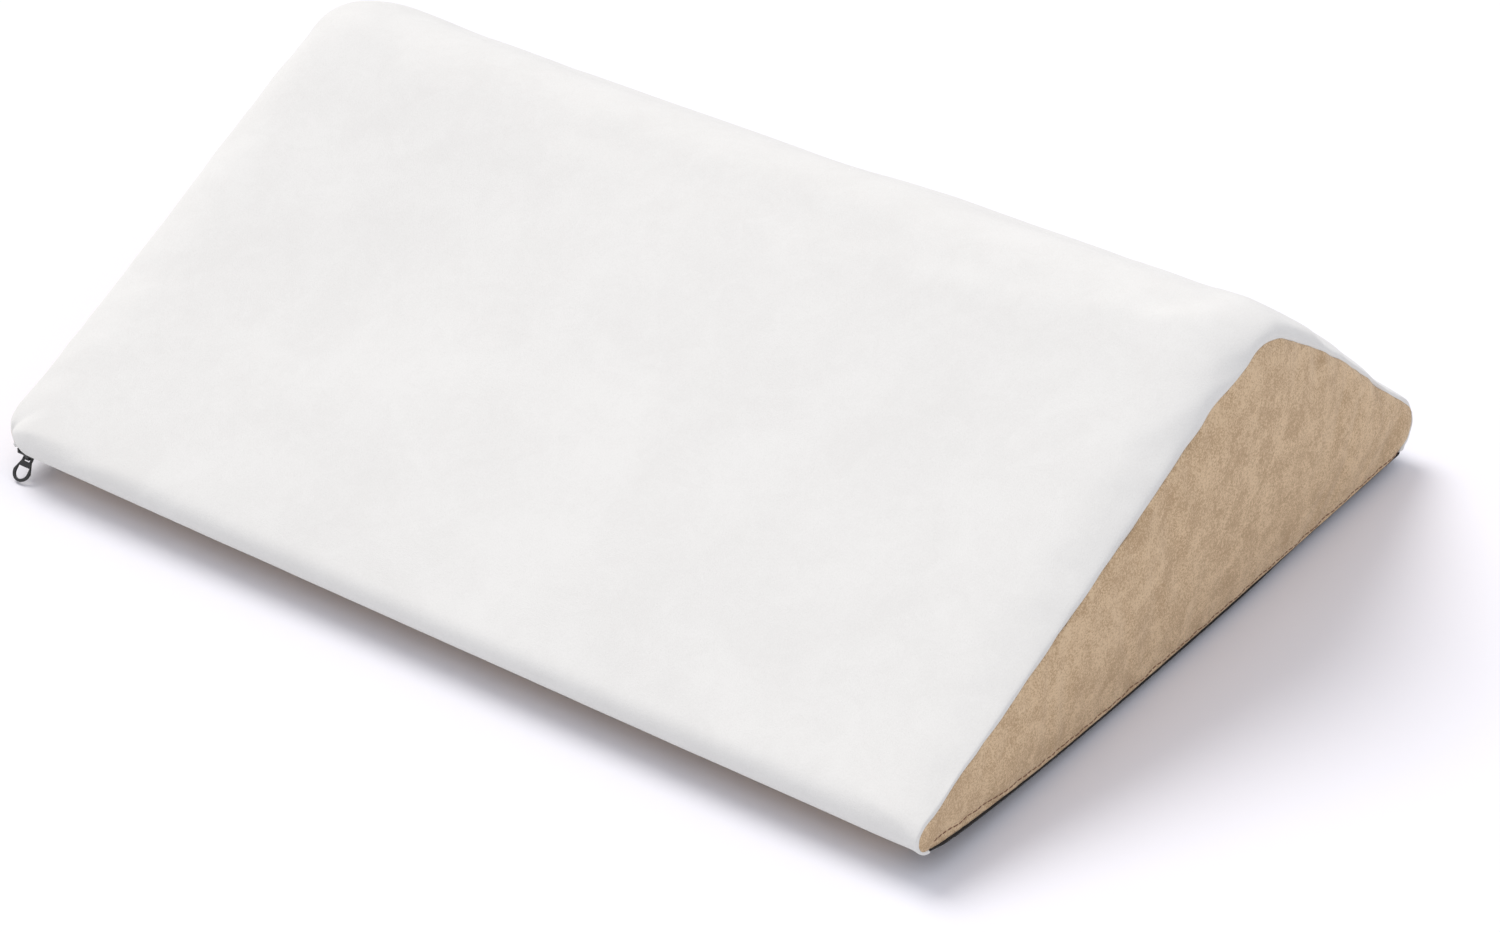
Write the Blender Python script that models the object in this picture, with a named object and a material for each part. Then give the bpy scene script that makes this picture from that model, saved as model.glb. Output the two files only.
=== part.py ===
"""Wedge-shaped lumbar cushion: a two-layer foam core in a zip-off fabric cover.

Metres, +Z up. X runs along the cushion, the thin edge (nose) faces -Y and the tall edge +Y.
The origin is at the middle of the footprint, on the surface that the cushion rests on.
Cover dimensions are given in the cover frame: Y starts at the centre of the nose and Z at the
lower edge of the side panels. The cover frame is tipped a little, with the nose up.
"""
import math

import bmesh
import bpy
import numpy as np

# Cover size and side outline: three circles joined by straight runs
COVER_WIDTH = 0.508
NOSE_RADIUS = 0.006
RIDGE_Y = 0.244
RIDGE_Z = 0.094
RIDGE_RADIUS = 0.030
HEEL_Y = 0.375
HEEL_RADIUS = 0.013
# How much fuller the cover is between its ends than at its side panels
NOSE_CROWN = 0.0007
RIDGE_CROWN = 0.0067
ROLL_WIDTH = 0.028
# Height of the side panels' lower edge over the ground, at the nose and at the heel
NOSE_LIFT = 0.015
HEEL_LIFT = 0.007
# Fabrics and foam
GAP = 0.0003
TOP_THICKNESS = 0.002
GUSSET_THICKNESS = 0.0015
BOTTOM_THICKNESS = 0.0012
COMFORT_THICKNESS = 0.025
# Underside: a flat resting patch, reached from the rim of the cover by a slope
PATCH_MARGIN = 0.070
RIM_OVERLAP = 0.0025
# Zip, measured inwards from the cover's edge
CHAIN_INSET = 0.010
CHAIN_CORNER = 0.020
CHAIN_GAP = 0.0014
COIL_WIDTH = 0.0026
COIL_HEIGHT = 0.0014
TAPE_THICKNESS = 0.0005
TAPE_EDGE_INSET = 0.0002
TAPE_EDGE_CORNER = 0.005
TAPE_LAP = 0.006
INNER_TAPE_CORNER = 0.008
ZIP_FRONT = 0.0006
STOP_LENGTH = 0.0018
STOP_SIDE_STEP = 0.0002
# Slider and its pull
SLIDER_LENGTH = 0.009
SLIDER_WIDTH = 0.010
SLIDER_PLATE = 0.0008
SLIDER_FLANGE = 0.0011
SLIDER_SIDE_GAP = 0.001
SLIDER_HEADROOM = 0.0006
ARCH_FRONT = 0.0007
ARCH_LENGTH = 0.0042
ARCH_WIDTH = 0.0024
ARCH_WALL = 0.0009
ARCH_OPENING = 0.0018
PULL_THICKNESS = 0.001
PULL_LENGTH = 0.013
PULL_WIDTH = 0.010
PULL_BAR = 0.001
PULL_ARM = 0.0012
PULL_SIDE_GAP = 0.0005
PULL_HOLE_WIDTH = 0.0066
PULL_WALL = 0.0014
PULL_HOLE_LENGTH = 0.0058
PULL_TIP_HEIGHT = 0.00105
# Threads of the two rows of topstitching
OUTER_THREAD_RADIUS = 0.00035
OUTER_THREAD_Z = 0.003
INNER_THREAD_RADIUS = 0.0003
INNER_THREAD_LAP = 0.002
# Number of straight steps in each round stretch, and in each straight run
ARC_STEPS = 10
RUN_STEPS = 8
ROLL_STEPS = 4
SLOPE_STEPS = 4
CORNER_STEPS = 6

HALF_WIDTH = COVER_WIDTH / 2
SKIN = GAP + TOP_THICKNESS
TILT = math.asin((NOSE_LIFT - HEEL_LIFT) / HEEL_Y)
BACK_EDGE = HEEL_Y + math.sqrt((HEEL_RADIUS + SKIN) ** 2 - HEEL_RADIUS ** 2)
TAPE_TOP_Z = -GAP
TAPE_BOTTOM_Z = TAPE_TOP_Z - TAPE_THICKNESS
COIL_TOP_Z = TAPE_BOTTOM_Z - GAP
COIL_BOTTOM_Z = COIL_TOP_Z - COIL_HEIGHT
HEM_TOP_Z = TAPE_BOTTOM_Z - GAP
HEM_BOTTOM_Z = HEM_TOP_Z - BOTTOM_THICKNESS
HEM_INSET = CHAIN_INSET + SLIDER_WIDTH / 2 + SLIDER_SIDE_GAP
HEM_CORNER = CHAIN_CORNER + CHAIN_INSET - HEM_INSET
INNER_TAPE_INSET = HEM_INSET + TAPE_LAP
INNER_THREAD_INSET = HEM_INSET + INNER_THREAD_LAP
BELLY_MARGIN = INNER_TAPE_INSET + RIM_OVERLAP
PATCH_FRONT = PATCH_MARGIN
PATCH_BACK = BACK_EDGE - PATCH_MARGIN
STOP_FRONT = ZIP_FRONT + GAP
COIL_FRONT = STOP_FRONT + STOP_LENGTH + GAP
SLIDER_FRONT = COIL_FRONT + GAP
SLIDER_TOP_Z = TAPE_TOP_Z + GAP + SLIDER_PLATE
SLIDER_BOTTOM_Z = COIL_BOTTOM_Z - GAP - SLIDER_PLATE
FOAM_RIM_Z = SLIDER_TOP_Z + SLIDER_HEADROOM
HINGE_Y = SLIDER_FRONT + ARCH_FRONT + ARCH_LENGTH / 2
HINGE_Z = SLIDER_BOTTOM_Z - ARCH_OPENING / 2
HINGE_HEIGHT = NOSE_LIFT - HINGE_Y * math.sin(TILT) + HINGE_Z * math.cos(TILT)
PULL_LEAN = math.asin((HINGE_HEIGHT - PULL_TIP_HEIGHT) / PULL_LENGTH) + TILT
PULL_EYE_WIDTH = ARCH_WIDTH + 2 * PULL_SIDE_GAP
PULL_EYE_LENGTH = math.hypot(ARCH_LENGTH / 2, ARCH_OPENING / 2 + ARCH_WALL) + GAP
PULL_NECK_WIDTH = PULL_EYE_WIDTH + 2 * PULL_ARM


def clear_scene():
    """Start from an empty scene."""
    for item in list(bpy.data.objects):
        bpy.data.objects.remove(item, do_unlink=True)


def make_collection(name):
    """A new collection, linked to the scene."""
    collection = bpy.data.collections.new(name)
    bpy.context.scene.collection.children.link(collection)
    return collection


def make_material(name, colour, roughness, metallic=0.0):
    """A plain Principled material."""
    material = bpy.data.materials.new(name)
    material.use_nodes = True
    shader = material.node_tree.nodes["Principled BSDF"]
    shader.inputs["Base Color"].default_value = (*colour, 1.0)
    shader.inputs["Roughness"].default_value = roughness
    shader.inputs["Metallic"].default_value = metallic
    return material


def velour():
    """Off-white pile fabric."""
    return make_material("velour", (0.85, 0.84, 0.82), 0.9)


def microsuede():
    """Tan brushed fabric."""
    return make_material("microsuede", (0.47, 0.35, 0.24), 0.95)


def zip_fabric():
    """Black woven tape and nylon coil."""
    return make_material("zip_fabric", (0.015, 0.015, 0.016), 0.7)


def zip_metal():
    """Black lacquered die casting."""
    return make_material("zip_metal", (0.02, 0.02, 0.022), 0.35, 0.6)


def thread():
    """Red-brown sewing thread."""
    return make_material("thread", (0.30, 0.13, 0.07), 0.6)


def base_foam():
    """Firm polyurethane foam."""
    return make_material("base_foam", (0.80, 0.76, 0.62), 0.95)


def comfort_foam():
    """Slow-recovery foam."""
    return make_material("comfort_foam", (0.86, 0.84, 0.78), 0.95)


def arc(circle, start, end, steps=ARC_STEPS):
    """Points on a circle (centre and radius), from one angle to another."""
    first, second, radius = circle
    turns = [start + (end - start) * step / steps for step in range(steps + 1)]
    return [(first + radius * math.cos(turn), second + radius * math.sin(turn)) for turn in turns]


def between(first, last):
    """Even points along the straight run from one point to another, without its ends."""
    shares = [step / RUN_STEPS for step in range(1, RUN_STEPS)]
    return [tuple(a + (b - a) * share for a, b in zip(first, last)) for share in shares]


def wedge_circles(grow=0.0, crown=0.0):
    """Nose, ridge and heel circles of the side outline, grown all round and crowned."""
    nose = (0.0, NOSE_RADIUS, NOSE_RADIUS + grow + NOSE_CROWN * crown)
    ridge = (RIDGE_Y, RIDGE_Z, RIDGE_RADIUS + grow + RIDGE_CROWN * crown)
    heel = (HEEL_Y, HEEL_RADIUS, HEEL_RADIUS + grow)
    return nose, ridge, heel


def tangent_normal(first, second):
    """Angle of the normal to the straight run that lies over two circles."""
    run = second[0] - first[0]
    rise = second[1] - first[1]
    return math.atan2(rise, run) + math.acos((first[2] - second[2]) / math.hypot(run, rise))


def dip_to(circle, height):
    """Angle below level at which a circle reaches a height."""
    return math.asin((circle[1] - height) / circle[2])


def upper_run(circles, nose_dip, heel_dip):
    """Outline over the nose, the ramp, the ridge and the heel."""
    nose, ridge, heel = circles
    ramp = tangent_normal(nose, ridge)
    back = tangent_normal(ridge, heel)
    round_nose = arc(nose, math.pi + nose_dip, ramp)
    round_ridge = arc(ridge, ramp, back)
    round_heel = arc(heel, back, -heel_dip)
    run = round_nose + between(round_nose[-1], round_ridge[0]) + round_ridge
    return run + between(round_ridge[-1], round_heel[0]) + round_heel


def roll_stations():
    """Half widths through the rolled end of the cover, and the crown left at each."""
    turns = [math.pi / 2 * step / ROLL_STEPS for step in range(ROLL_STEPS + 1)]
    places = [HALF_WIDTH - ROLL_WIDTH * (1 - math.sin(turn)) for turn in turns]
    return places, [math.cos(turn) for turn in turns]


def crown_at(x):
    """Share of the crown that the cover has at a place along its width."""
    places, crowns = roll_stations()
    return float(np.interp(abs(x), places, crowns))


def belly_at(x):
    """Share of the drop from the rim to the resting patch at a place along the width."""
    slope = PATCH_MARGIN - BELLY_MARGIN
    return min(1.0, max(0.0, (HALF_WIDTH - BELLY_MARGIN - abs(x)) / slope))


def belly_stations():
    """Half widths down the slope from the rim to the resting patch."""
    rise = (PATCH_MARGIN - BELLY_MARGIN) / SLOPE_STEPS
    return [HALF_WIDTH - BELLY_MARGIN - rise * step for step in range(SLOPE_STEPS + 1)]


def mirrored(places):
    """Half widths as stations from one end of the cushion to the other."""
    inward = sorted(set(places), reverse=True)
    return [-place for place in inward] + inward[::-1]


def ground_z(y, height):
    """Z in the cover frame of a point that lies at a height over the ground."""
    return (height - NOSE_LIFT + y * math.sin(TILT)) / math.cos(TILT)


def belly_run(x, rim_z, ground_height, rim_back):
    """Points of the underside between its front and back rim."""
    share = belly_at(x)
    front, back = [
        (y, (1 - share) * rim_z + share * ground_z(y, ground_height))
        for y in (PATCH_FRONT, PATCH_BACK)
    ]
    return [(BELLY_MARGIN, rim_z), front] + between(front, back) + [back, (rim_back, rim_z)]


def loft(name, sections):
    """A closed solid through equal closed sections, given as {x: [(y, z), ...]}."""
    mesh = bmesh.new()
    rings = [[mesh.verts.new((x, y, z)) for y, z in points] for x, points in sections.items()]
    for near, far in zip(rings, rings[1:]):
        for index, vertex in enumerate(near):
            mesh.faces.new((near[index - 1], vertex, far[index], far[index - 1]))
    mesh.faces.new(rings[0])
    mesh.faces.new(rings[-1])
    bmesh.ops.recalc_face_normals(mesh, faces=mesh.faces)
    data = bpy.data.meshes.new(name)
    mesh.to_mesh(data)
    mesh.free()
    return bpy.data.objects.new(name, data)


def flat_outline(name, outlines, thickness):
    """A flat piece with the given closed outlines, centred on its own X-Y plane."""
    curve = bpy.data.curves.new(name, "CURVE")
    curve.dimensions = "2D"
    curve.fill_mode = "BOTH"
    curve.extrude = thickness / 2
    for outline in outlines:
        spline = curve.splines.new("POLY")
        spline.points.add(len(outline) - 1)
        for point, (x, y) in zip(spline.points, outline):
            point.co = (x, y, 0, 1)
        spline.use_cyclic_u = True
    return bpy.data.objects.new(name, curve)


def wire(name, points, radius):
    """A round thread along a row of points."""
    curve = bpy.data.curves.new(name, "CURVE")
    curve.dimensions = "3D"
    curve.bevel_depth = radius
    curve.bevel_resolution = 2
    curve.use_fill_caps = True
    spline = curve.splines.new("POLY")
    spline.points.add(len(points) - 1)
    for point, place in zip(spline.points, points):
        point.co = (*place, 1)
    return bpy.data.objects.new(name, curve)


def as_mesh(piece, collection):
    """The same piece as a mesh with its caps welded, for joining and cutting."""
    collection.objects.link(piece)
    bpy.context.view_layer.update()
    seen = piece.evaluated_get(bpy.context.evaluated_depsgraph_get())
    data = bpy.data.meshes.new_from_object(seen)
    mesh = bmesh.new()
    mesh.from_mesh(data)
    bmesh.ops.remove_doubles(mesh, verts=mesh.verts, dist=1e-6)
    bmesh.ops.recalc_face_normals(mesh, faces=mesh.faces)
    mesh.to_mesh(data)
    mesh.free()
    name = piece.name
    place = piece.matrix_world.copy()
    bpy.data.objects.remove(piece, do_unlink=True)
    result = bpy.data.objects.new(name, data)
    result.matrix_world = place
    return result


def keep_side(piece, point, normal):
    """Cut a closed mesh with a plane and keep the side that the normal points to."""
    mesh = bmesh.new()
    mesh.from_mesh(piece.data)
    geometry = mesh.verts[:] + mesh.edges[:] + mesh.faces[:]
    cut = bmesh.ops.bisect_plane(mesh, geom=geometry, plane_co=point, plane_no=normal, clear_inner=True)
    rim = [item for item in cut["geom_cut"] if isinstance(item, bmesh.types.BMEdge)]
    bmesh.ops.holes_fill(mesh, edges=rim)
    bmesh.ops.recalc_face_normals(mesh, faces=mesh.faces)
    mesh.to_mesh(piece.data)
    mesh.free()


def foam_core(name):
    """The whole foam wedge, which both layers are cut from."""
    places, _ = roll_stations()
    end = HALF_WIDTH - GUSSET_THICKNESS - GAP
    sections = {}
    for x in mirrored([place for place in places if place < end] + belly_stations() + [end]):
        circles = wedge_circles(0.0, crown_at(x))
        run = upper_run(circles, dip_to(circles[0], FOAM_RIM_Z), dip_to(circles[2], FOAM_RIM_Z))
        under = belly_run(x, FOAM_RIM_Z, BOTTOM_THICKNESS + GAP, BACK_EDGE - BELLY_MARGIN)
        sections[x] = run + under[::-1]
    return loft(name, sections)


def layer_plane():
    """A point and the upward normal of the glued joint between the two foam layers."""
    nose, ridge, _ = wedge_circles(0.0, 1.0)
    turn = tangent_normal(nose, ridge)
    normal = (0.0, math.cos(turn), math.sin(turn))
    reach = ridge[2] - COMFORT_THICKNESS
    return (0.0, ridge[0] + reach * normal[1], ridge[1] + reach * normal[2]), normal


def foam_base():
    """Firm lower layer of the core."""
    piece = foam_core("foam_base")
    point, normal = layer_plane()
    below = [place - GAP * part for place, part in zip(point, normal)]
    keep_side(piece, below, [-part for part in normal])
    return piece


def comfort_layer():
    """Softer layer glued along the ramp."""
    piece = foam_core("comfort_layer")
    keep_side(piece, *layer_plane())
    return piece


def top_panel():
    """One length of fabric from under the nose, over the ridge and down to the heel."""
    places, _ = roll_stations()
    heel_dip = dip_to(wedge_circles(SKIN)[2], 0.0)
    sections = {}
    for x in mirrored(places):
        outer = upper_run(wedge_circles(SKIN, crown_at(x)), math.pi / 2, heel_dip)
        inner = upper_run(wedge_circles(GAP, crown_at(x)), math.pi / 2, heel_dip)
        sections[x] = outer + inner[::-1]
    return loft("top_panel", sections)


def gusset(name, side):
    """Flat wedge-shaped side panel, framed by the edge of the top panel."""
    circles = wedge_circles()
    outline = upper_run(circles, math.pi / 2, math.pi / 2)
    piece = flat_outline(name, [outline], GUSSET_THICKNESS)
    piece.rotation_euler = (math.pi / 2, 0, math.pi / 2)
    piece.location.x = side * (HALF_WIDTH - GUSSET_THICKNESS / 2)
    return piece


def hem_back(x):
    """Back edge of the bottom panel, which turns the corner inside the zip."""
    past = max(0.0, abs(x) - (HALF_WIDTH - HEM_INSET - HEM_CORNER))
    return BACK_EDGE - HEM_INSET - HEM_CORNER + math.sqrt(max(0.0, HEM_CORNER ** 2 - past ** 2))


def bottom_panel():
    """Lower panel of the cover, which hangs from the zip and rests on the ground."""
    turns = [math.pi / 2 * step / CORNER_STEPS for step in range(CORNER_STEPS + 1)]
    places = [HALF_WIDTH - HEM_INSET - HEM_CORNER * (1 - math.sin(turn)) for turn in turns]
    sections = {}
    for x in mirrored(places + belly_stations()):
        hem = hem_back(x)
        rim = min(BACK_EDGE - BELLY_MARGIN, hem - BOTTOM_THICKNESS)
        lower = belly_run(x, HEM_BOTTOM_Z, 0.0, rim)
        upper = belly_run(x, HEM_TOP_Z, BOTTOM_THICKNESS, rim)
        front = [(ZIP_FRONT, HEM_TOP_Z), (ZIP_FRONT, HEM_BOTTOM_Z)]
        back = [(hem, HEM_BOTTOM_Z), (hem, HEM_TOP_Z)]
        sections[x] = front + lower + back + upper[::-1]
    return loft("bottom_panel", sections)


def zip_path(inset, corner=None):
    """Left side, back and right side of the zip, at a distance from the cover's edge."""
    if corner is None:
        corner = CHAIN_CORNER + CHAIN_INSET - inset
    side = HALF_WIDTH - inset - corner
    back = BACK_EDGE - inset - corner
    left = arc((-side, back, corner), math.pi, math.pi / 2, CORNER_STEPS)
    right = arc((side, back, corner), math.pi / 2, 0.0, CORNER_STEPS)
    return left + right


def zip_band(name, outer, inner, front, top_z, bottom_z):
    """A flat band between two zip paths, open towards the nose."""
    outline = [(outer[0][0], front)] + outer + [(outer[-1][0], front)]
    outline += [(inner[-1][0], front)] + inner[::-1] + [(inner[0][0], front)]
    piece = flat_outline(name, [outline], top_z - bottom_z)
    piece.location.z = (top_z + bottom_z) / 2
    return piece


def outer_tape():
    """Tape sewn inside the folded edge of the gussets and the back."""
    outer = zip_path(TAPE_EDGE_INSET, TAPE_EDGE_CORNER)
    inner = zip_path(CHAIN_INSET - CHAIN_GAP / 2)
    return zip_band("zipper_tape_outer", outer, inner, ZIP_FRONT, TAPE_TOP_Z, TAPE_BOTTOM_Z)


def inner_tape():
    """Tape sewn to the hem of the bottom panel."""
    outer = zip_path(CHAIN_INSET + CHAIN_GAP / 2)
    inner = zip_path(INNER_TAPE_INSET, INNER_TAPE_CORNER)
    return zip_band("zipper_tape_inner", outer, inner, ZIP_FRONT, TAPE_TOP_Z, TAPE_BOTTOM_Z)


def coil(name, near_inset):
    """One row of coil teeth, as its outer envelope."""
    outer = zip_path(near_inset)
    inner = zip_path(near_inset + COIL_WIDTH)
    return zip_band(name, outer, inner, COIL_FRONT, COIL_TOP_Z, COIL_BOTTOM_Z)


def stop(name, side, near_inset, far_inset):
    """A small block crimped over the front end of the teeth."""
    left = side * (HALF_WIDTH - near_inset)
    right = side * (HALF_WIDTH - far_inset)
    back = STOP_FRONT + STOP_LENGTH
    outline = [(left, STOP_FRONT), (right, STOP_FRONT), (right, back), (left, back)]
    piece = flat_outline(name, [outline], COIL_HEIGHT)
    piece.location.z = (COIL_TOP_Z + COIL_BOTTOM_Z) / 2
    return piece


def zip_stops():
    """Two stops where the slider parks, and one at the far end of the zip."""
    outer = CHAIN_INSET - CHAIN_GAP / 2
    inner = CHAIN_INSET + CHAIN_GAP / 2
    near = outer - COIL_WIDTH + STOP_SIDE_STEP
    far = inner + COIL_WIDTH - STOP_SIDE_STEP
    return [
        stop("zipper_top_stop_outer", -1, near, outer - STOP_SIDE_STEP),
        stop("zipper_top_stop_inner", -1, inner + STOP_SIDE_STEP, far),
        stop("zipper_bottom_stop", 1, near, far),
    ]


def slider_body(cutters):
    """Two plates joined by a web, with flanges that hold the teeth between them."""
    web = CHAIN_GAP / 2 - GAP
    edge = SLIDER_WIDTH / 2
    wall = edge - SLIDER_FLANGE
    ceiling = SLIDER_TOP_Z - SLIDER_PLATE
    floor = SLIDER_BOTTOM_Z + SLIDER_PLATE
    half = [
        (edge, SLIDER_TOP_Z), (edge, ceiling), (web, ceiling), (web, floor), (wall, floor),
        (wall, TAPE_BOTTOM_Z - GAP), (edge, TAPE_BOTTOM_Z - GAP), (edge, SLIDER_BOTTOM_Z),
    ]
    outline = half + [(-x, z) for x, z in reversed(half)]
    piece = flat_outline("zipper_slider", [outline], SLIDER_LENGTH)
    piece.rotation_euler = (math.pi / 2, 0, 0)
    piece.location = (CHAIN_INSET - HALF_WIDTH, SLIDER_FRONT + SLIDER_LENGTH / 2, 0)
    return as_mesh(piece, cutters)


def slider_arch(cutters):
    """Staple on the slider that the pull hangs from, with its feet sunk into the plate."""
    outer = ARCH_LENGTH / 2
    inner = outer - ARCH_WALL
    foot = SLIDER_PLATE / 2
    drop = ARCH_OPENING + ARCH_WALL
    half = [(inner, -ARCH_OPENING), (inner, foot), (outer, foot), (outer, -drop)]
    outline = half + [(-y, z) for y, z in reversed(half)]
    piece = flat_outline("slider_arch", [outline], ARCH_WIDTH)
    piece.rotation_euler = (math.pi / 2, 0, math.pi / 2)
    piece.location = (CHAIN_INSET - HALF_WIDTH, HINGE_Y, SLIDER_BOTTOM_Z)
    return as_mesh(piece, cutters)


def zip_slider(cutters):
    """Slider body and arch, joined into one casting."""
    body = slider_body(cutters)
    arch = slider_arch(cutters)
    cutters.objects.link(arch)
    arch.hide_render = True
    arch.display_type = "WIRE"
    union = body.modifiers.new("arch", "BOOLEAN")
    union.operation = "UNION"
    union.object = arch
    union.use_self = True
    return body, arch


def zip_pull():
    """Flat pull with an eye for the arch and a D-shaped hole, lying in its own X-Y plane."""
    neck = PULL_NECK_WIDTH / 2
    shoulder = PULL_EYE_LENGTH
    round_tip = PULL_WIDTH / 2
    centre = PULL_LENGTH - round_tip
    outline = [(-neck, shoulder), (-neck, -PULL_BAR / 2), (neck, -PULL_BAR / 2), (neck, shoulder)]
    outline += arc((0.0, centre, round_tip), 0.0, math.pi)
    half_eye = PULL_EYE_WIDTH / 2
    eye = [
        (-half_eye, PULL_BAR / 2), (half_eye, PULL_BAR / 2),
        (half_eye, PULL_EYE_LENGTH), (-half_eye, PULL_EYE_LENGTH),
    ]
    half_hole = PULL_HOLE_WIDTH / 2
    bottom = PULL_LENGTH - PULL_WALL
    hole = [(-half_hole, bottom - PULL_HOLE_LENGTH), (half_hole, bottom - PULL_HOLE_LENGTH)]
    hole += arc((0.0, bottom - half_hole, half_hole), 0.0, math.pi)
    piece = flat_outline("zipper_pull", [outline, eye, hole], PULL_THICKNESS)
    piece.rotation_euler = (math.pi + PULL_LEAN, 0, 0)
    piece.location = (CHAIN_INSET - HALF_WIDTH, HINGE_Y, HINGE_Z)
    return piece


def outer_topstitch():
    """Thread along the folded edge of the gussets and the back."""
    stand_off = GAP + OUTER_THREAD_RADIUS
    side = HALF_WIDTH + stand_off
    heel = wedge_circles(SKIN)[2]
    back = heel[0] + math.sqrt(heel[2] ** 2 - (heel[1] - OUTER_THREAD_Z) ** 2) + stand_off
    corner = OUTER_THREAD_RADIUS
    half = [(side, ZIP_FRONT), (side, back - corner), (side - corner, back)]
    run = [(-x, y, OUTER_THREAD_Z) for x, y in half]
    run += [(x, y, OUTER_THREAD_Z) for x, y in reversed(half)]
    return wire("topstitch_outer", run, OUTER_THREAD_RADIUS)


def inner_topstitch():
    """Thread along the hem of the bottom panel."""
    z = HEM_BOTTOM_Z - GAP - INNER_THREAD_RADIUS
    path = zip_path(INNER_THREAD_INSET)
    front = COIL_FRONT
    path = [(path[0][0], front)] + path + [(path[-1][0], front)]
    return wire("topstitch_inner", [(x, y, z) for x, y in path], INNER_THREAD_RADIUS)


def cover_frame(collection):
    """Empty that carries every piece: raised and tipped, and centred over the footprint."""
    nose = wedge_circles(SKIN, 1.0)[0]
    heel = wedge_circles(SKIN, 1.0)[2]
    front = nose[1] * math.sin(TILT) - nose[2]
    back = heel[0] * math.cos(TILT) + heel[1] * math.sin(TILT) + heel[2]
    frame = bpy.data.objects.new("cover_frame", None)
    frame.location = (0, -(front + back) / 2, NOSE_LIFT)
    frame.rotation_euler = (-TILT, 0, 0)
    collection.objects.link(frame)
    return frame


def build():
    """Make every sub-part and hang it on the cover frame."""
    clear_scene()
    parts = make_collection("wedge_cushion")
    cutters = make_collection("cutters")
    frame = cover_frame(parts)
    suede = microsuede()
    black = zip_fabric()
    metal = zip_metal()
    sewing = thread()
    pile = velour()
    near_coil = CHAIN_INSET - CHAIN_GAP / 2 - COIL_WIDTH
    far_coil = CHAIN_INSET + CHAIN_GAP / 2
    slider, arch = zip_slider(cutters)
    finished = [
        (foam_base(), base_foam()), (comfort_layer(), comfort_foam()), (top_panel(), pile),
        (gusset("left_gusset", -1), suede), (gusset("right_gusset", 1), suede), (bottom_panel(), suede),
        (outer_tape(), black), (inner_tape(), black),
        (coil("zipper_coil_outer", near_coil), black), (coil("zipper_coil_inner", far_coil), black),
        (slider, metal), (zip_pull(), metal),
        (outer_topstitch(), sewing), (inner_topstitch(), sewing),
    ]
    finished += [(piece, black) for piece in zip_stops()]
    for piece, material in finished:
        piece.data.materials.append(material)
        parts.objects.link(piece)
        piece.parent = frame
    arch.parent = frame


build()
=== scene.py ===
"""Wedge cushion for the lower back: a zipped velour and microsuede cover over two foams."""

import math

import bmesh
import bpy
from mathutils import Matrix, Vector, geometry, noise
from mathutils.bvhtree import BVHTree


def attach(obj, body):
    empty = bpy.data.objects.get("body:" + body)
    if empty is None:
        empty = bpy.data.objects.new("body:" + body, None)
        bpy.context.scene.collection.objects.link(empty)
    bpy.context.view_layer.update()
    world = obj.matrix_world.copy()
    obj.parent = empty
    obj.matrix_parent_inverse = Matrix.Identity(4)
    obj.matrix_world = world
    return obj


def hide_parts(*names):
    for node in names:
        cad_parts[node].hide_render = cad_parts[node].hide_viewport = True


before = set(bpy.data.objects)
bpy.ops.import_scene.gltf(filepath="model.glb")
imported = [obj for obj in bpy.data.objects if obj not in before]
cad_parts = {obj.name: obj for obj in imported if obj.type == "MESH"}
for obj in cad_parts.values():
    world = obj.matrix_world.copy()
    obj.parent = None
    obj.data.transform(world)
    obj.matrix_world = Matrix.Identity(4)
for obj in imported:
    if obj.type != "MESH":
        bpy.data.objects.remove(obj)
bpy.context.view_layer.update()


# ------------------------------------------------------------------------------------------
# Foam core. Two slabs of foam are cut to the wedge and glued face to face: a firm base and a
# softer comfort layer along the ramp. The cover hides both, and its pressure rounds their edges.

FOAM_VOXEL = 0.004
FOAM_CLEARANCE = 0.0006
FOAM_SMOOTHING = 0.5
FOAM_SMOOTH_PASSES = 4
BASE_FOAM_COLOUR = (0.78, 0.72, 0.55)
BASE_FOAM_CELL = 0.0011
COMFORT_FOAM_COLOUR = (0.86, 0.84, 0.77)
COMFORT_FOAM_CELL = 0.0007
# How much darker the pits of the foam's pores are painted: painted shade.
PORE_PAINTED_SHADE = 0.62
PORE_EDGE = 0.55
MOTTLE_CELLS = 14
WELD = 1e-6
FLAT_ANGLE = math.radians(1)


def deselect_everything():
    for other in bpy.context.selected_objects:
        other.select_set(False)


def work_on(piece):
    deselect_everything()
    piece.select_set(True)
    bpy.context.view_layer.objects.active = piece


def apply_modifier(piece, name, kind, **settings):
    work_on(piece)
    modifier = piece.modifiers.new(name, kind)
    for setting, value in settings.items():
        setattr(modifier, setting, value)
    bpy.ops.object.modifier_apply(modifier=modifier.name)


def copy_of_node(node, name):
    """A welded copy of a CAD node, as a new piece."""
    piece = bpy.data.objects.new(name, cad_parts[node].data.copy())
    bpy.context.scene.collection.objects.link(piece)
    piece.data.materials.clear()
    work_on(piece)
    bpy.ops.object.mode_set(mode="EDIT")
    bpy.ops.mesh.select_all(action="SELECT")
    bpy.ops.mesh.remove_doubles(threshold=WELD)
    bpy.ops.mesh.dissolve_limited(angle_limit=FLAT_ANGLE)
    bpy.ops.mesh.normals_make_consistent(inside=False)
    bpy.ops.object.mode_set(mode="OBJECT")
    return piece


def noise_node(material, coordinates, size, detail=2.0, roughness=0.5):
    """Noise whose features are about that many metres across."""
    pattern = material.node_tree.nodes.new("ShaderNodeTexNoise")
    pattern.inputs["Scale"].default_value = 1 / size
    pattern.inputs["Detail"].default_value = detail
    pattern.inputs["Roughness"].default_value = roughness
    material.node_tree.links.new(coordinates, pattern.inputs["Vector"])
    return pattern.outputs["Fac"]


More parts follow.
